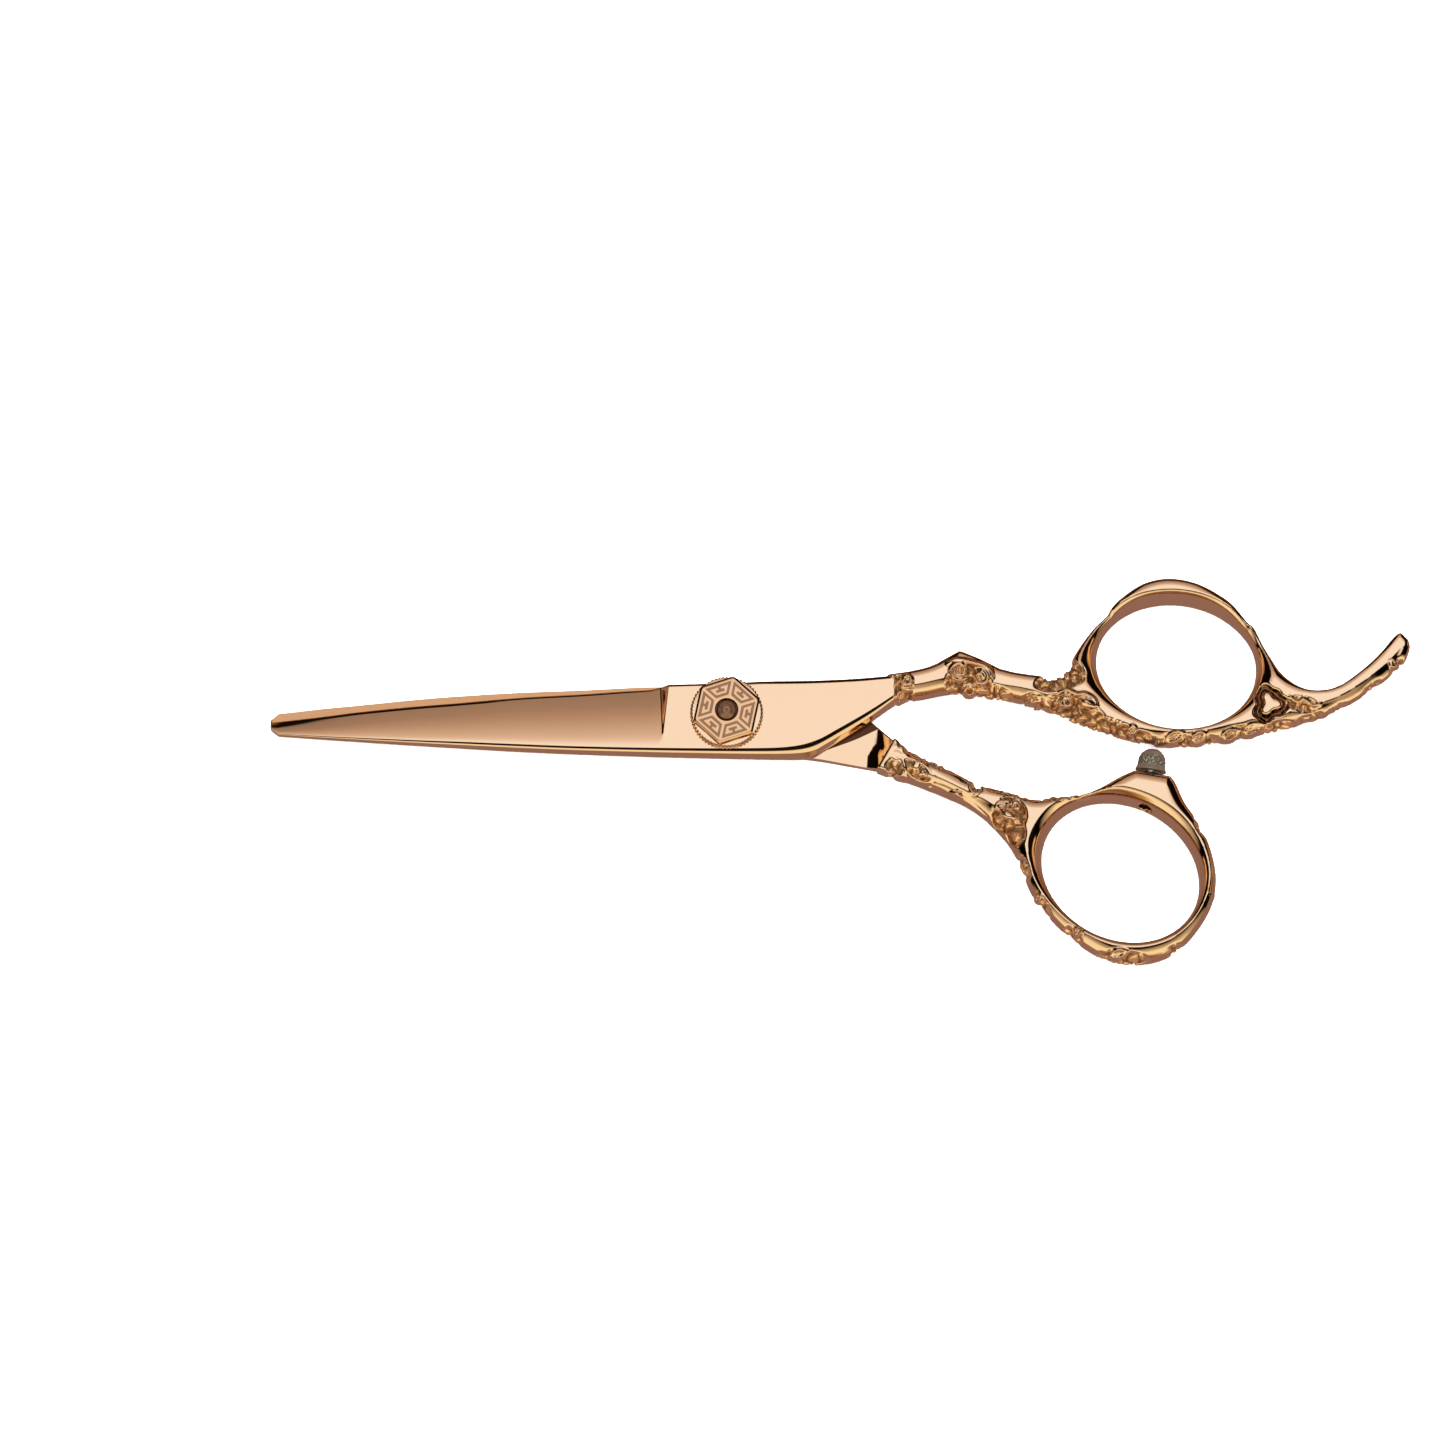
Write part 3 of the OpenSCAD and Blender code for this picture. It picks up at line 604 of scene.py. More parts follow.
carve_finger(finger.relief)
carve_thumb(thumb.relief)
for handle in (finger, thumb):
    handle.relief.soften()
FINE = 0.19      # grid step of the handles' surfaces, mm
finger_handle = shaped(finger.build("finger_handle_cast", FINE), "finger_handle", "finger_half")
thumb_handle = shaped(thumb.build("thumb_handle_cast", FINE * 0.93), "thumb_handle", "thumb_half")


# ---------------------------------------------------------------- blades

RIDE, GAP = 2.8, 0.03           # plane between the blades, and each ride face's distance from it
THICK, TIP_THICK = 2.27, 1.3
TIP, PLUNGE = -69.0, -9.5       # x of the tips, and of the line where the grinding ends
SHANK_X = 12.3                  # where the rear blade's shank begins
HEEL_X, HEEL_R = 19, 11         # where the heel starts to thicken, and the radius of that curve
EDGE_THICK = 0.36               # height that the ground face comes down to, before the edge's strip
KNEE = 0.27                     # share of the face's width at which the plunge line bends
NEAR_SIDE = np.array([0.6, 0.49, 0.47, 0.36, 0.33, 0.15, 0.0])  # last rings, mm from the far side
# The roll from the flat into the spine bevel: steps of (share of the bevel's width, degrees of tilt)
ROLL = np.array([(0.03, 5), (0.03, 9), (0.11, 10.5), (0.11, 11.5), (0.09, 12.5), (0.03, 20), (0.08, 28),
                 (0.08, 30), (0.07, 33), (0.03, 45)])


def curve_at(x, points):
    """y at each x on a smooth curve through points (x rising)."""
    c = open_curve(points, 12)
    return np.interp(x, c[:, 0], c[:, 1])


def arc(a, c, b, n):
    """n + 1 rings from a to b, along the parabola that rounds the corner c."""
    t = np.linspace(0, 1, n + 1)[:, None, None]
    return list(a * (1 - t)**2 + 2 * c * t * (1 - t) + b * t * t)


def toward(a, b, r):
    """Points on the way from a to b, r from a (at most 0.3 of the way)."""
    d = b - a
    return a + d * np.minimum(r / np.maximum(np.linalg.norm(d, axis=1, keepdims=True), 1e-9), 0.3)


def blade(name, x, spine, far, thick, bevel, share, ramp, flat_to, facet, up, keen, lift=None):
    """A blade as cross-sections along x. Each goes from the ride face round the spine, up the bevel
    and over the face to the far side: the cutting edge, or the un-ground side near the pivot.
    bevel is its width and share its depth, as a part of the thickness; the ride face reaches
    flat_to and stands ramp behind its plane at either side; facet is how high the far side ends;
    keen bends the ground face; lift lowers the rings of the ride face by a height at each y."""
    side = np.sign(far - spine)

    def at(y, h):
        return np.stack([y, h], 1)
    width = np.abs(far - spine) - bevel
    foot0, foot1 = at(flat_to, -ramp[0]), at(spine, -ramp[1])
    land = at(spine, thick * (1 - share))
    w = np.concatenate([np.tile(np.linspace(0, 1, 32)**1.25 * 0.93, (len(x), 1)),
                        1 - NEAR_SIDE / np.maximum(width, 1.3)[:, None]], 1)
    w = np.sort(w, axis=1)
    # g is 1 on the ground face and 0 on the flat round the pivot
    deep = np.clip((w - KNEE) / (1 - KNEE), 0, 1)
    low = np.clip((KNEE - w) / KNEE, 0, 1)
    right = PLUNGE + 0.8 * deep + 0.7 * low
    g = 1 - step01((x[:, None] - right) / (0.3 + 1.1 * deep + 2.2 * low) + 1)
    # rim is the width of the steeper strip along the edge, and extra its further drop
    rim = 0.14 + 0.32 * np.clip((PLUNGE - x) / 32, 0, 1)
    extra = np.maximum(0.68 - (thick - EDGE_THICK) * keen / width, 0.02) * rim
    slope = ((thick - EDGE_THICK)[:, None] * w**keen[:, None]
             + extra[:, None] * np.clip((w - 1) * (width / rim)[:, None] + 1, 0, 1))
    chamfer = 0.64 * np.maximum(0, (w - 1) * width[:, None] + 0.34
                                + 0.14 * np.clip(x / 8, 0, 1)[:, None])
    h = thick[:, None] - g * slope - (1 - g) * chamfer
    face = [at(spine + side * (bevel + w[:, k] * width), h[:, k]) for k in range(w.shape[1])]
    last = at(far, np.minimum(facet, face[-1][:, 1] - 0.01))
    under = [last, toward(last, foot0, 0.04)]
    under += [last + (foot0 - last) * t for t in (0.35, 0.5, 0.65)] + [toward(foot0, last, 0.04)]
    rings = [foot0, toward(foot0, foot1, 0.04), toward(foot1, foot0, 0.04), foot1]
    if lift:
        for ring in rings + under:
            ring[:, 1] -= lift(ring[:, 0])
    across = np.cumsum(ROLL[:, 0])
    drop = np.cumsum(ROLL[:, 0] * np.tan(np.radians(ROLL[:, 1])))
    roll = [at(spine + side * bevel * (1 - u), thick - bevel * d) for u, d in zip(across, drop)]
    rings += arc(toward(land, foot1, 0.15), land, toward(land, roll[-1], 0.2), 4)
    rings += roll[::-1]
    rings += face + under
    prof = np.stack(rings, 1)
    mid = prof.mean(1, keepdims=True)
    shrink = np.interp(x, [TIP, TIP + 0.04, TIP + 0.15, TIP + 0.35], [0.78, 0.9, 0.97, 1.0])
    prof = mid + (prof - mid) * shrink[:, None, None]
    m, n = prof.shape[:2]
    verts = np.stack([np.broadcast_to(x[:, None], (m, n)), prof[..., 0],
                      RIDE + up * (GAP + prof[..., 1])], -1).reshape(-1, 3)
    quads = grid_faces(m, n, wrap_n=True)
    ends = np.concatenate([mid[0], mid[-1]])
    verts = np.concatenate([verts, np.stack([x[[0, -1]], ends[:, 0], RIDE + up * (GAP + ends[:, 1])], 1)])
    caps = end_fans(m, n)
    o = to_object(name, verts, [quads, caps])
    o.data.materials.append(None)
    o.data.materials.append(None)
    # The first three strips of each section are the ride face, which has the second material
    slots = np.zeros(len(quads) + len(caps), np.int32)
    slots[:len(quads)][(np.arange(len(quads)) % n) < 3] = 1
    o.data.polygons.foreach_set("material_index", slots)
    return o


# Sections along x, closer together at the tip, the plunge line and the shank
STATIONS = np.concatenate([TIP + np.array([0, 0.04, 0.09, 0.15, 0.24, 0.35, 0.6, 0.9, 1.2]),
                           np.arange(-67.4, -12.6, 0.8), np.arange(-12.4, -8.0, 0.08),
                           np.arange(-7.8, 11, 0.9), np.arange(11, 20, 0.15), np.arange(20.1, 25.5, 0.1)])


def make_blades():
    """The front blade with its heel, and the rear blade with its shank."""
    x = STATIONS
    run = np.clip((PLUNGE - x) / (PLUNGE - TIP), 0, 1)
    thick = THICK + (TIP_THICK - THICK) * run
    keen = 2.2 - 0.6 * run
    tip = np.maximum(0, 1.2 - (x - TIP))
    ramp = np.where(x > HEEL_X, HEEL_R - np.sqrt(HEEL_R**2 - np.clip(x - HEEL_X, 0, 8)**2), 0)
    front_spine = curve_at(x, [[-69.2, -3.05], [-60, -3.72], [-45, -4.72], [-30, -5.6], [-15, -6.2],
                               [0, -6.6], [8, -6.75], [11.5, -6.72], [13.3, -6.3], [15, -5.3], [17.5, -3.75],
                               [21.5, -1.15], [25.6, 2.1]]) + 0.7 * tip
    front_ridge = curve_at(x, [[-69.2, -2.85], [-61.6, -3.3], [-47.7, -3.95], [-40, -4.25], [-31, -4.65],
                               [-22, -5.0], [-9, -5.28], [3, -5.3], [9.5, -5.05], [13.5, -4.06], [17, -2.2],
                               [21.6, 0.5], [25.6, 3.1]]) + 0.55 * tip
    edge = curve_at(x, [[-69.2, -1.1], [-61.6, -0.2], [-55.5, 0.6], [-47.7, 1.4], [-40.4, 2.0], [-31.3, 2.8],
                        [-22.2, 3.3], [-16.2, 3.72], [-11.6, 4.0], [-9, 4.45], [0, 4.7], [5.8, 5.0],
                        [12.6, 5.12], [19.5, 5.42], [25.6, 5.95]])
    a = blade("finger_blade_ground", x, front_spine, edge, thick,
              np.maximum(front_ridge - front_spine, 0.2), 0.62, (ramp, ramp), edge - 0.05,
              0.02 + 0 * x, 1, keen)
    rear_spine = curve_at(x, [[-69.2, 0.2], [-61.6, 1.1], [-55.5, 1.7], [-47.7, 2.5], [-40.4, 3.1],
                              [-31.3, 3.65], [-22.2, 4.0], [-11.6, 4.5], [0, 4.5], [8, 4.6],
                              [12, 4.2], [16, 2.9], [20, 0.6], [23, -1.8], [25.6, -4.4]]) - 0.7 * tip
    rear_edge = curve_at(x, [[-69.2, -1.7], [-60, -2.35], [-45, -3.55], [-30, -4.75], [-15, -5.6], [-9, -5.9],
                             [0, -6.0], [9, -6.2], [13.2, -6.5], [19.6, -7.6], [25.6, -8.7]])
    fold = step01((x - 12) / 5)
    line = curve_at(x, [[8, -7], [10.5, -6.6], [13.2, -5.9], [16, -4.9], [19.6, -3.55], [22.9, -2.0],
                        [25.6, -0.9]])
    line = np.clip(line, rear_edge + 0.05, np.maximum(rear_spine - 0.3, rear_edge + 0.05))
    flat_to = rear_edge + 0.05 + (line - rear_edge - 0.05) * step01((x - 11) / 2.2)

    def rise(y):
        """Height of the shank's fillet up to the handle; its axis leans with the collar."""
        run_in = np.linspace(0, 3.6, 60)
        tilt = np.interp(run_in, [0, 0.12, 0.2, 1.2, 1.35, 2.6, 2.8, 3.6], [0, 3, 12, 21, 32, 36.5, 43, 50])
        height = np.cumsum(np.tan(np.radians(tilt))) * (run_in[1] - run_in[0])
        return np.interp(x - 20.7 - 0.42 * (y + 7.2), run_in, height)
    fall = 0.1 * np.clip(rear_spine - flat_to, 0, 4) * fold
    facet = 0.07 * (flat_to - rear_edge) * fold
    b = blade("thumb_blade_ground", x, rear_spine, rear_edge, thick, 1.3 - run, 0.62 - 0.4 * fold,
              (0 * x, -fall), flat_to, 0.02 + facet, -1, keen, rise)
    # The ride face has a third material from the fold to the handle, which carries a painted dark reflection
    # of the heel
    b.data.materials.append(None)
    for face in b.data.polygons:
        if face.material_index == 1 and face.center.x > SHANK_X * MM:
            face.material_index = 2
    return shaped(a, "finger_blade", "finger_half"), shaped(b, "thumb_blade", "thumb_half")


finger_blade, thumb_blade = make_blades()


# ---------------------------------------------------------------- round parts

RIDGE_DEPTH, RIDGE_FROM = 0.16, 5.1     # the nut's knurling, and the radius where it begins


def lathe(name, profile, n=96, ridges=0, place=None):
    """A closed turned piece: the profile goes once round the section, (r, z) pairs, and closes on
    itself or on the axis. place takes the turned points to where the piece sits."""
    p = np.asarray(profile, float)
    a = 2 * np.pi * np.arange(n) / n
    r, z = p[:, 0][:, None] + 0 * a, p[:, 1][:, None] + 0 * a
    if ridges:
        wave = np.clip(0.5 - 0.9 * np.cos(ridges * a), 0, 1)
        r = r - RIDGE_DEPTH * wave[None] * np.clip((p[:, 0] - RIDGE_FROM) / 0.2, 0, 1)[:, None]
    verts = np.stack([r * np.cos(a), r * np.sin(a), z], -1)
    if p[0, 0] == 0:
        m = len(p) - 2
        verts = np.concatenate([verts[1:-1].reshape(-1, 3), [[0, 0, p[0, 1]], [0, 0, p[-1, 1]]]])
        faces = [grid_faces(m, n, wrap_n=True), end_fans(m, n)]
    else:
        verts, faces = verts.reshape(-1, 3), [grid_faces(len(p), n, wrap_m=True, wrap_n=True)]
    faces = outward(verts, faces)
    return to_object(name, place(verts) if place else verts, faces)


def rounded(points, r, n=4):
    """The closed polygon with every corner rounded, except where a point lies on the axis."""
    p = np.array(points, float)
    out = []
    for k in range(len(p)):
        a, c, b = p[k - 1], p[k], p[(k + 1) % len(p)]
        if c[0] == 0:
            out.append(c)
            continue
        ra, rb = (min(r, 0.45 * np.linalg.norm(e - c)) for e in (a, b))
        s = c + (a - c) / np.linalg.norm(a - c) * ra
        e = c + (b - c) / np.linalg.norm(b - c) * rb
        t = np.linspace(0, 1, n + 1)[:, None]
        out += list(s * (1 - t)**2 + 2 * c * t * (1 - t) + e * t * t)
    return np.array(out)


# Heights of the dial: the skirt's foot, the ceiling of the nut's recess, the cap's foot; cap's thickness
SKIRT_Z, NUT_Z, CAP_Z, CAP_T = 5.3, 6.28, 7.13, 1.0
CAP_TURN, CAP_HALF, CAP_BORE = 18, 4.58, 1.72   # degrees, half the width across flats, bore radius
CAP_SHARP = 44                                  # sharpness of the hexagon's corners


def make_dial():
    """Knurled nut, hexagonal cap and the screw's turned end."""
    nut = lathe("dial_knurled", rounded([[4.2, SKIRT_Z], [5.42, SKIRT_Z], [5.55, SKIRT_Z + 0.14],
                                         [5.5, 5.98], [5.24, 6.44], [4.5, 6.49], [4.4, CAP_Z],
                                         [2.02, CAP_Z], [2.02, NUT_Z], [4.15, NUT_Z]], 0.06),
                n=480, ridges=60)
    shaped(nut, "dial_nut", "tension_dial")

    n = 240
    a = 2 * np.pi * np.arange(n) / n
    turn = math.radians(CAP_TURN)
    flats = [np.maximum(np.cos(a - turn - math.radians(30 + 60 * k)), 0)**CAP_SHARP for k in range(6)]
    hexagon = CAP_HALF / np.stack(flats).sum(0)**(1 / CAP_SHARP)
    # The section's first value is 0 at the bore and 1 on the hexagon
    prof = rounded([[0, 0], [1, 0], [1, CAP_T - 0.17], [0.945, CAP_T - 0.02], [0.93, CAP_T],
                    [0.02, CAP_T], [0, CAP_T - 0.06]], 0.02, 3)
    across = prof[:, :1]
    r = np.where(across > 0.5, across * hexagon[None], CAP_BORE + across * 2)
    z = CAP_Z + prof[:, 1:2] + 0 * a[None]
    verts = np.stack([r * np.cos(a), r * np.sin(a), z], -1).reshape(-1, 3)
    faces = outward(verts, [grid_faces(len(prof), n, wrap_m=True, wrap_n=True)])
    cap = shaped(to_object("dial_hexagon", verts, faces), "dial_cap", "tension_dial")

    t = np.linspace(0, 1, 40)
    dome = np.stack([1.5 * np.cos(t * np.pi / 2),
                     7.72 + 0.5 * np.sin(t * np.pi / 2) + 0.012 * np.cos(t * 40)], 1)
    dome[-1, 0] = 0
    body = rounded([[0, 0.0], [4.35, 0.0], [4.5, 0.15], [4.5, 0.9], [2.47, 0.9], [2.47, 6.0],
                    [1.95, 6.0], [1.95, 7.2], [1.5, 7.2], [1.5, 7.65]], 0.05, 3)
    screw = lathe("pivot_screw_turned", np.concatenate([body, dome]))
    return nut, cap, shaped(screw, "pivot_screw", "thumb_half")


dial_nut, dial_cap, pivot_screw = make_dial()


def on_stud(v):
    """From turned coordinates to the bumper's axis: z runs from the boss towards the finger ring."""
    across = np.array([STUD_DIR[1], -STUD_DIR[0]])
    xy = STUD_AT + v[:, 2:3] * STUD_DIR + v[:, 0:1] * across
    return np.column_stack([xy, MID + v[:, 1]])


def make_bumper():
    """Rubber dome with a lip at its foot, on a threaded stud whose knurled collar shows through as a darker
    band with painted glints in the rubber's colour.
    """
    t = np.linspace(0, np.pi / 2, 16)
    dome = np.stack([2.1 * np.cos(t), 1.95 + 2.05 * np.sin(t)], 1)
    dome[-1, 0] = 0
    skin = np.concatenate([[[0, 2.2], [1.0, 2.1], [1.0, 0.52]],
                           [[1.5, 0.5], [2.26, 0.5], [2.36, 0.58], [2.34, 0.72], [2.22, 0.95], [2.13, 1.25],
                            [2.1, 1.6]], dome])
    rubber = lathe("bumper_rubber", skin, place=on_stud)
    stud = lathe("bumper_stud_turned", rounded([[0, -3.4], [0.85, -3.4], [0.97, -3.28], [0.97, 0.12],
                                                [1.52, 0.12], [1.58, 0.2], [1.58, 0.48], [0.97, 0.48],
                                                [0.97, 2.0], [0, 2.05]], 0.04, 3), n=64, place=on_stud)
    return shaped(rubber, "bumper", "thumb_half"), shaped(stud, "bumper_stud", "thumb_half")


bumper, bumper_stud = make_bumper()


# ---------------------------------------------------------------- materials

class S:
    """A shader value: arithmetic on it adds Math nodes."""

    def __init__(self, tree, socket):
        self.tree, self.socket = tree, socket

    def op(self, kind, *others, clamp=False):
        """A Math node of some kind on this value and others."""
        n = self.tree.nodes.new("ShaderNodeMath")
        n.operation, n.use_clamp = kind, clamp
        for k, v in enumerate((self, *others)):
            if isinstance(v, S):
                self.tree.links.new(v.socket, n.inputs[k])
            else:
                n.inputs[k].default_value = v
        return S(self.tree, n.outputs[0])

    def __add__(self, o): return self.op("ADD", o)
    def __radd__(self, o): return self.op("ADD", o)
    def __mul__(self, o): return self.op("MULTIPLY", o)
    def __rmul__(self, o): return self.op("MULTIPLY", o)
    def __sub__(self, o): return self.op("SUBTRACT", o)
    def __rsub__(self, o): return (self * -1.0) + o
    def abs(self): return self.op("ABSOLUTE")
    def max(self, o): return self.op("MAXIMUM", o)
    def min(self, o): return self.op("MINIMUM", o)
    def sin(self): return self.op("SINE")
    def clip(self): return self.op("ADD", 0.0, clamp=True)

    def ramp(self, a, b):
        """0 at a, 1 at b, smooth between."""
        n = self.tree.nodes.new("ShaderNodeMapRange")
        n.interpolation_type = "SMOOTHSTEP"
        self.tree.links.new(self.socket, n.inputs["Value"])
        n.inputs["From Min"].default_value = min(a, b)
        n.inputs["From Max"].default_value = max(a, b)
        if a > b:
            n.inputs["To Min"].default_value, n.inputs["To Max"].default_value = 1.0, 0.0
        return S(self.tree, n.outputs["Result"])


def mixed(tree, amount, a, b, kind="MIX"):
    """Colour a where amount is 0, b where it is 1; each is a colour or a shader value."""
    n = tree.nodes.new("ShaderNodeMix")
    n.data_type, n.blend_type = "RGBA", kind
    for k, v in ((0, amount), (6, a), (7, b)):
        if isinstance(v, S):
            tree.links.new(v.socket, n.inputs[k])
        else:
            n.inputs[k].default_value = (*v, 1)
    return S(tree, n.outputs[2])


class Look:
    """One material: its tree, the object's own coordinates in mm, and its shader."""

    def __init__(self, name, **constants):
        self.mat = bpy.data.materials.new(name)
        self.mat.use_nodes = True
        self.tree = self.mat.node_tree
        self.shader = self.tree.nodes["Principled BSDF"]
        for key, value in constants.items():
            self.shader.inputs[key.replace("_", " ")].default_value = value

    def node(self, kind, settings=None, **inputs):
        """Any other node: settings first, then values or links by input name."""
        n = self.tree.nodes.new("ShaderNode" + kind)
        for k, v in (settings or {}).items():
            setattr(n, k, v)
        for k, v in inputs.items():
            key = k.replace("_", " ")
            target = n.inputs[key] if key in n.inputs else n.inputs[int(k[1:])]
            if isinstance(v, S):
                self.tree.links.new(v.socket, target)
            else:
                target.default_value = v
        return n

    def out(self, n, name=0):
        """An output of a node as a shader value."""
        return S(self.tree, n.outputs[name])

    def place(self):
        """Object coordinates in millimetres, as a vector."""
        t = self.node("TexCoord")
        return self.out(self.node("VectorMath", {"operation": "SCALE"}, Vector=self.out(t, "Object"),
                                  Scale=1000.0))

    def xyz(self, vector):
        """The three parts of a vector."""
        n = self.node("SeparateXYZ", Vector=vector)
        return [self.out(n, k) for k in range(3)]

    def stretch(self, vector, x, y, z):
        """A vector scaled by x, y and z along its axes."""
        return self.out(self.node("VectorMath", {"operation": "MULTIPLY"}, Vector=vector, i1=(x, y, z)))

    def noise(self, vector, scale, detail=3.0, rough=0.55):
        """Fractal noise from 0 to 1."""
        return self.out(self.node("TexNoise", None, Vector=vector, Scale=scale, Detail=detail,
                                  Roughness=rough))

    def attribute(self, name):
        """A value stored on the mesh."""
        return self.out(self.node("Attribute", {"attribute_name": name}), "Fac")

    def mix(self, amount, a, b):
        """Colour a where amount is 0, b where it is 1."""
        return mixed(self.tree, amount, a, b)

    def set(self, **links):
        """Links shader values to the shader's own sockets."""
        for key, v in links.items():
            self.tree.links.new(v.socket, self.shader.inputs[key.replace("_", " ")])

    def bump(self, height, distance, strength=1.0):
        """Bumps of a height that goes from 0 to 1 over a distance in mm."""
        n = self.node("Bump", None, Height=height, Distance=distance * MM, Strength=strength)
        self.set(Normal=self.out(n, "Normal"))


ROSE = (0.955, 0.69, 0.475)
PALE_ROSE = (0.965, 0.705, 0.495)
GOLD = (0.96, 0.55, 0.24)
# Colour of the painted shade in the cast handles' recesses
PAINTED_SHADE_BROWN = (0.20, 0.085, 0.035)


def polished():
    """Mirror-polished rose gold coating: faint polishing haze and hairlines along the blade."""
    k = Look("rose_gold_polish", Metallic=1.0, Roughness=0.06)
    p = k.place()
    haze = k.noise(p, 0.35, 2.0)
    hair = k.noise(k.stretch(p, 0.15, 14.0, 14.0), 1.0, 2.0)
    k.set(Base_Color=k.mix((haze * 0.5 + hair * 0.3).clip(), ROSE, PALE_ROSE),
          Roughness=(0.045 + haze * 0.03 + hair * 0.02))
    k.bump(haze, 0.004, 0.6)
    return k.mat


def ride_face(name, shank=False):
    """Ground ride face: brushed lines along the blade on a deeper, more orange coating. On the shank
    a tint fades in towards the handle and stands in for the dark reflection of the heel above it."""
    k = Look(name, Metallic=1.0, Roughness=0.3)
    p = k.place()
    lines = k.noise(k.stretch(p, 0.2, 9.0, 1.0), 1.0, 4.0, 0.7)
    base = k.mix(lines, (0.88, 0.46, 0.21), (1.0, 0.62, 0.37))
    if shank:
        # Painted reflection: dark brown fades in along x towards the handle, standing in for the heel's
        # reflection
        base = k.mix(k.xyz(p)[0].ramp(SHANK_X + 0.3, 17.0) * 0.93, base, (0.10, 0.035, 0.02))
    k.set(Base_Color=base, Roughness=(0.22 + lines * 0.2))
    k.bump(lines, 0.01)
    return k.mat


def cast():
    """Cast handle: polished high faces; recesses duller and grainy, and darkened by painted shade."""
    k = Look("rose_gold_cast", Metallic=1.0, Roughness=0.1)
    p = k.place()
    dark, patch = k.attribute("dark"), k.attribute("patch")
    haze = k.noise(p, 0.5, 2.0)
    grain = k.noise(p, 5.0, 4.0, 0.65)
    # Painted shade: the dark attribute turns recesses golden, then dark brown
    deep = (dark * 1.15 - 0.1 + (grain - 0.5) * 0.5 * dark).clip()
    warm = k.mix((patch * 0.75 + dark * 0.3).clip(), k.mix(haze, ROSE, PALE_ROSE), GOLD)
    k.set(Base_Color=k.mix(deep * 0.85, warm, PAINTED_SHADE_BROWN), Metallic=(1.0 - patch * 0.07),
          Roughness=(0.05 + haze * 0.03 + patch * 0.05 + deep * 0.1))
    k.bump(grain * patch, 0.025)
    return k.mat


def turned(name, colour, rough=0.16):
    """Turned metal: fine rings round the pivot axis."""
    k = Look(name, Metallic=1.0, Roughness=rough)
    p = k.place()
    x, y = k.xyz(p)[:2]
    rings = ((x * x + y * y).op("SQRT") * 24.0).sin()
    fine = k.noise(p, 3.0, 2.0)
    dull = tuple(c * 0.82 for c in colour)
    k.set(Base_Color=k.mix((rings * 0.3 + fine * 0.5).clip(), colour, dull),
          Roughness=(rough + rings * 0.03 + fine * 0.05))
    k.bump(rings, 0.012)
    return k.mat


FRET = 0.2      # half the width of the fret's lines, mm


def etched_cap():
    """Polished hexagonal cap with a darker etched fret: in each sector a border round a T."""
    k = Look("rose_gold_etched", Metallic=1.0, Roughness=0.08)
    p = k.place()
    x, y, z = k.xyz(p)
    best = None
    for s in range(6):
        a = math.radians(CAP_TURN + 30 + 60 * s)
        u = x * math.cos(a) + y * math.sin(a)
        v = y * math.cos(a) - x * math.sin(a)
        half = u * math.tan(math.radians(30))
        inside = (half - v.abs() - 0.24).min(4.0 - u).min(u - 2.12)
        border = FRET - (inside - FRET).abs()
        bar = FRET - (u - 3.06).abs().max(v.abs() - 0.44)
        stem = FRET - v.abs().max((u - 3.5).abs() - 0.3)
        mark = border.max(bar).max(stem).min(inside + 0.02)
        best = mark if best is None else best.max(mark)
    high = z.ramp(CAP_Z + CAP_T - 0.06, CAP_Z + CAP_T - 0.02)
    mask = best.ramp(-0.02, 0.03) * high
    grit = k.noise(p, 9.0, 3.0)
    etched = k.mix(grit, (0.56, 0.36, 0.235), (0.64, 0.42, 0.28))
    k.set(Base_Color=k.mix(mask, (0.86, 0.53, 0.31), etched),
          Roughness=(0.07 + mask * 0.36))
    k.bump(mask * -1.0 + grit * mask * 0.4, 0.008)
    return k.mat


def smoke():
    """Smoke-grey rubber, slightly clear, with a darker band near its foot whose painted glints stand in for
    the glitter of the knurled collar inside it.
    """
    k = Look("smoke_rubber", Roughness=0.22, IOR=1.45, Transmission_Weight=0.1)
    p = k.place()
    x, y = k.xyz(p)[:2]
    s = ((x - float(STUD_AT[0])) * float(STUD_DIR[0])
         + (y - float(STUD_AT[1])) * float(STUD_DIR[1]))
    band = s.ramp(1.2, 1.5) * s.ramp(3.0, 2.7)
    cell = k.out(k.node("TexVoronoi", None, Vector=p, Scale=3.6), "Distance")
    # Painted glints: light specks in the band, standing in for the collar's glitter seen through the rubber
    painted_glint = cell.ramp(0.34, 0.2) * band
    cloud = k.noise(p, 1.2, 3.0)
    base = k.mix(cloud, (0.042, 0.032, 0.028), (0.060, 0.046, 0.040))
    base = k.mix(s.ramp(1.3, 0.7), base, (0.06, 0.042, 0.028))
    # A darker band where the collar shows through, painted into the rubber's colour
    base = k.mix(band * 0.85, base, (0.03, 0.024, 0.014))
    k.set(Base_Color=k.mix(painted_glint * 0.9, base, (0.20, 0.18, 0.145)), Roughness=(0.2 + cloud * 0.14))
    k.bump(cell * band, 0.09)
    return k.mat


def plain(name, colour, rough, metal=0.0, speck=0.06):
    """Small inner pieces: even colour with a faint mottle."""
    k = Look(name, Metallic=metal, Roughness=rough)
    n = k.noise(k.place(), 2.5, 3.0)
    k.set(Base_Color=k.mix(n, colour, tuple(c * (1 - speck * 2) for c in colour)),
          Roughness=(rough + n * speck))
    k.bump(n, 0.008)
    return k.mat


# The third ride face material has a painted dark reflection of the heel near the handle
POLISH, RIDE_FACE, SHANK_PAINTED_REFLECTION = polished(), ride_face("rose_gold_ride"), ride_face("rose_gold_shank_painted_reflection", True)
CAST = cast()
SCREW = turned("rose_gold_turned", (0.40, 0.235, 0.145))
NYLON = plain("natural_nylon", (0.80, 0.78, 0.72), 0.45)
SPRING = plain("spring_steel", (0.55, 0.55, 0.57), 0.25, metal=1.0)

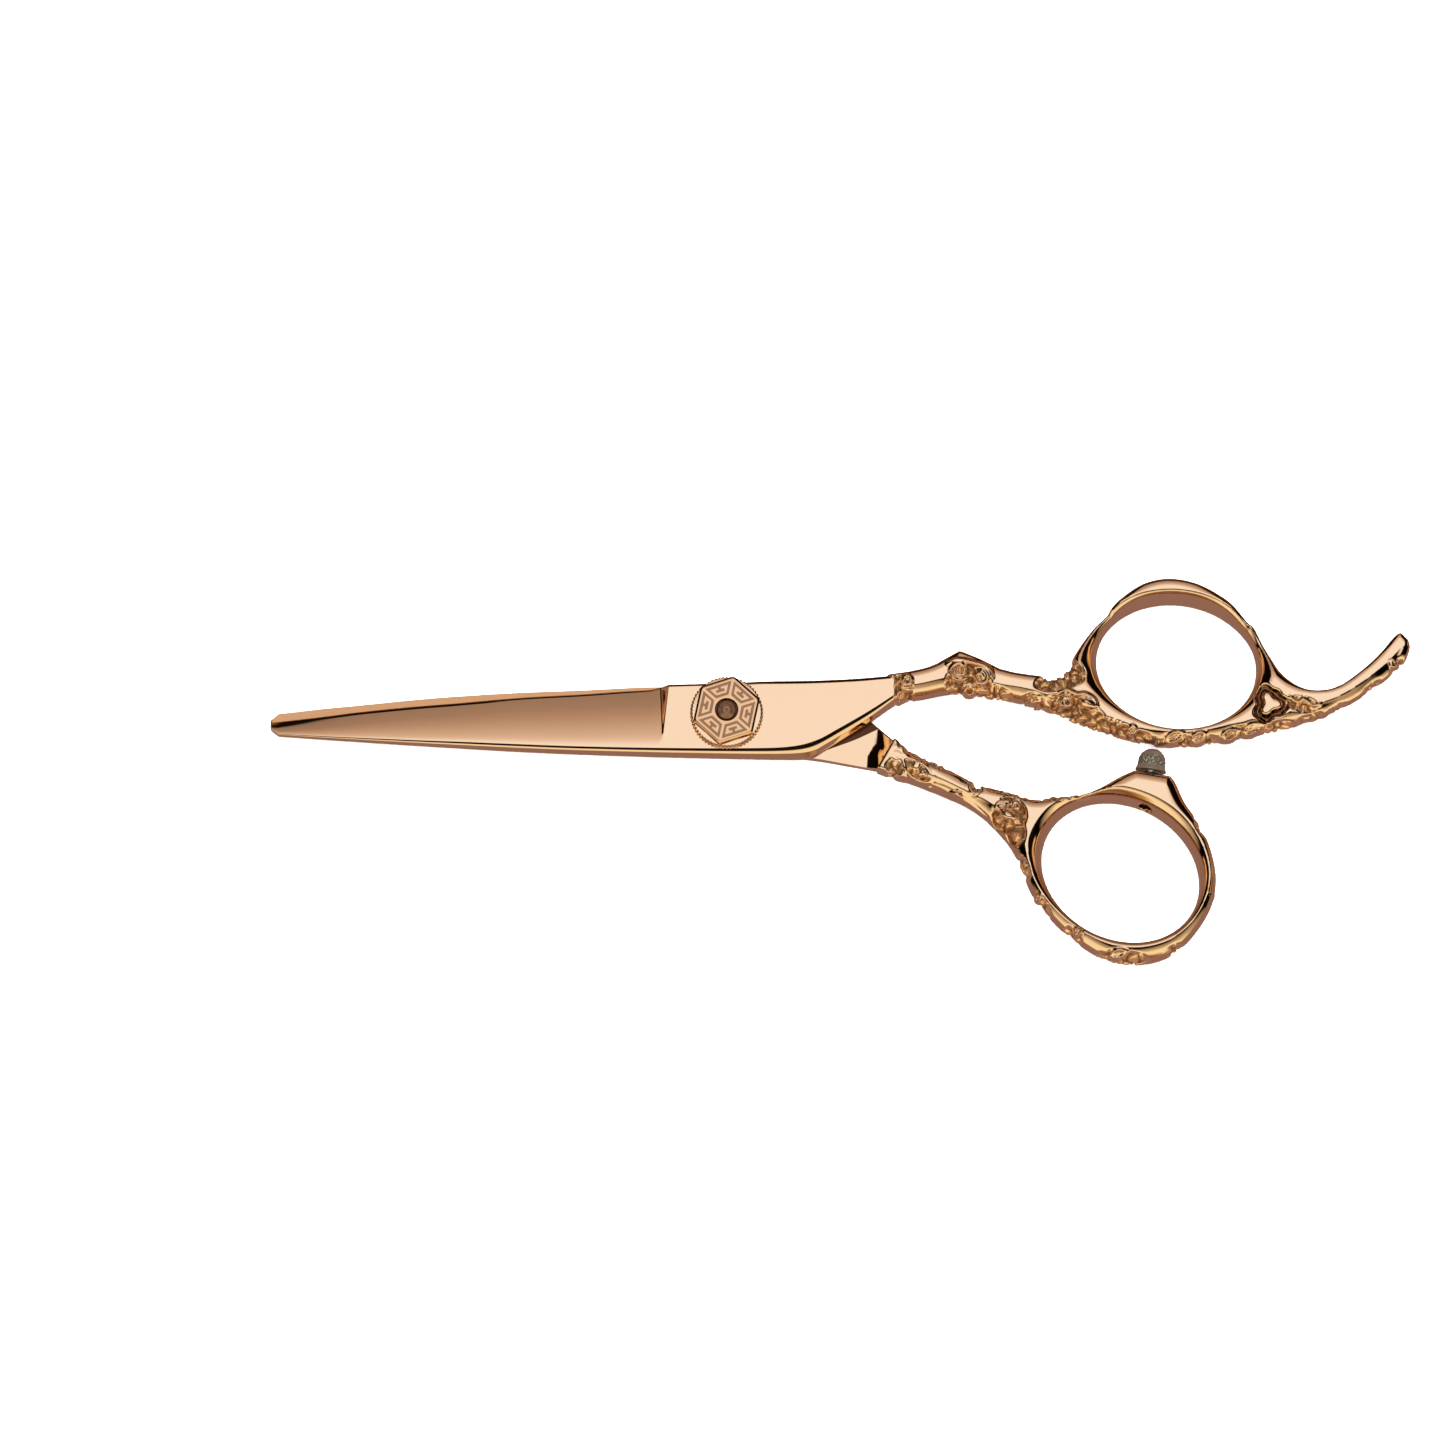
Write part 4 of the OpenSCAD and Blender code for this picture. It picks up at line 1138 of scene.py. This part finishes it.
for o, looks in ((finger_blade, (POLISH, RIDE_FACE)), (thumb_blade, (POLISH, RIDE_FACE, SHANK_PAINTED_REFLECTION))):
    for k, m in enumerate(looks):
        o.data.materials[k] = m
for o, m, slot in ((finger_handle, CAST, "cast_steel"), (thumb_handle, CAST, "cast_steel"),
                   (dial_nut, POLISH, "dial_steel"), (dial_cap, etched_cap(), "dial_steel"),
                   (pivot_screw, SCREW, "screw_steel"), (bumper, smoke(), "smoke_rubber"),
                   (bumper_stud, SPRING, "screw_steel")):
    o.data.materials.append(m)
for node, m in (("pivot_bush", NYLON), ("ride_washer", NYLON), ("seat_washer", NYLON),
                ("wave_spring", SPRING), ("click_plate", SPRING)):
    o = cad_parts[node]
    o.data.materials.clear()
    o.data.materials.append(m)


# ---------------------------------------------------------------- scene

# Light of the studio by direction: from the front (-Y) over the top to the back, and outwards in X
BLACK = (0.006, 0.004, 0.003)
FRONT_TO_BACK = [
    (-1.00, (0.30, 0.19, 0.165)), (-0.96, (0.22, 0.10, 0.035)), (-0.90, (0.55, 0.33, 0.13)),
    (-0.84, (1.0, 0.92, 0.66)), (-0.62, (0.98, 0.87, 0.58)), (-0.48, (0.52, 0.40, 0.25)),
    (-0.30, (0.22, 0.165, 0.11)), (-0.26, BLACK), (-0.13, BLACK), (-0.07, (1, 0.97, 0.93)),
    (0.205, (1, 1, 1)), (0.235, (0.93, 0.88, 0.86)), (0.28, (0.80, 0.67, 0.62)), (0.34, (0.70, 0.575, 0.50)),
    (0.47, (0.584, 0.455, 0.36)), (0.60, (0.478, 0.341, 0.273)), (0.71, (0.379, 0.275, 0.215)),
    (0.83, (0.33, 0.24, 0.195)), (0.88, (0.28, 0.20, 0.165)), (0.91, BLACK), (0.985, BLACK),
    (1.0, (0.12, 0.05, 0.018))]
MIDDLE_TO_SIDE = [
    (0.0, (1, 1, 1)), (0.24, (1, 1, 1)), (0.31, (0.6, 0.55, 0.5)), (0.34, BLACK), (0.88, BLACK),
    (0.91, (0.65, 0.36, 0.12)), (0.955, (0.95, 0.62, 0.28)), (0.985, (0.10, 0.03, 0.02)), (1.0, BLACK)]


def make_world():
    """Soft studio seen in the metal: bright overhead, falling to warm brown low down, with narrow
    dark bands where the dome's edges and the front of the tent would be."""
    world = bpy.data.worlds.new("studio")
    bpy.context.scene.world = world
    world.use_nodes = True
    tree = world.node_tree
    tree.nodes.clear()
    t = tree.nodes.new("ShaderNodeTexCoord")
    sep = tree.nodes.new("ShaderNodeSeparateXYZ")
    tree.links.new(t.outputs["Generated"], sep.inputs[0])
    x, y, z = (S(tree, sep.outputs[k]) for k in range(3))

    def band(value, stops):
        """A colour for each value from -1 to 1, straight between the stops."""
        n = tree.nodes.new("ShaderNodeValToRGB")
        tree.links.new((value * 0.5 + 0.5).socket, n.inputs[0])
        e = n.color_ramp.elements
        while len(e) < len(stops):
            e.new(0.5)
        for item, (at, colour) in zip(e, stops):
            item.position = at * 0.5 + 0.5
            item.color = (*colour, 1)
        return S(tree, n.outputs[0])
    front_back = band(y, FRONT_TO_BACK)
    sides = band(x.abs(), MIDDLE_TO_SIDE)
    below = band(y, [(-1, (0.30, 0.19, 0.165)), (0.3, (0.27, 0.165, 0.14)), (0.5, (0.22, 0.095, 0.035)),
                     (1, (0.20, 0.08, 0.025))])
    above = mixed(tree, y.ramp(-0.42, -0.2), front_back, sides, "MULTIPLY")
    light = mixed(tree, z.ramp(0.02, -0.12), above, below)
    bg = tree.nodes.new("ShaderNodeBackground")
    tree.links.new(light.socket, bg.inputs["Color"])
    out = tree.nodes.new("ShaderNodeOutputWorld")
    tree.links.new(bg.outputs[0], out.inputs[0])


def make_stage():
    """White floor, an overhead soft light for it, and the camera."""
    bpy.ops.mesh.primitive_plane_add(size=4, location=(0, 0, 0))
    floor = bpy.context.object
    floor.name = "floor"
    m = bpy.data.materials.new("floor_white")
    m.use_nodes = True
    b = m.node_tree.nodes["Principled BSDF"]
    b.inputs["Base Color"].default_value = (0.92, 0.92, 0.92, 1)
    b.inputs["Roughness"].default_value = 0.9
    b.inputs["Specular IOR Level"].default_value = 0.0
    floor.data.materials.append(m)
    floor.visible_glossy = False
    data = bpy.data.lights.new("softbox", "AREA")
    data.shape, data.size, data.energy = "DISK", 1.6, 85.0
    lamp = bpy.data.objects.new("softbox", data)
    lamp.location = (0.1, 0.1, 1.3)
    lamp.visible_glossy = False
    bpy.context.scene.collection.objects.link(lamp)

    cam = bpy.data.cameras.new("camera")
    o = bpy.data.objects.new("camera", cam)
    bpy.context.scene.collection.objects.link(o)
    bpy.context.scene.camera = o
    # Angle above the floor, distance, width seen at that distance, and shift within the picture
    rise, distance, width, shift = math.radians(78.7), 2.4, 0.21894, (-0.00062, -0.00041)
    cam.lens_unit = "FOV"
    cam.angle = 2 * math.atan(width / 2 / distance)
    cam.clip_end = 20
    centre = np.array([shift[0], shift[1] * math.sin(rise), shift[1] * -math.cos(rise)])
    o.location = centre + np.array([0, -math.cos(rise), math.sin(rise)]) * distance
    o.rotation_euler = (math.pi / 2 - rise, 0, 0)


make_world()
make_stage()
bpy.context.scene.view_settings.view_transform = "Standard"
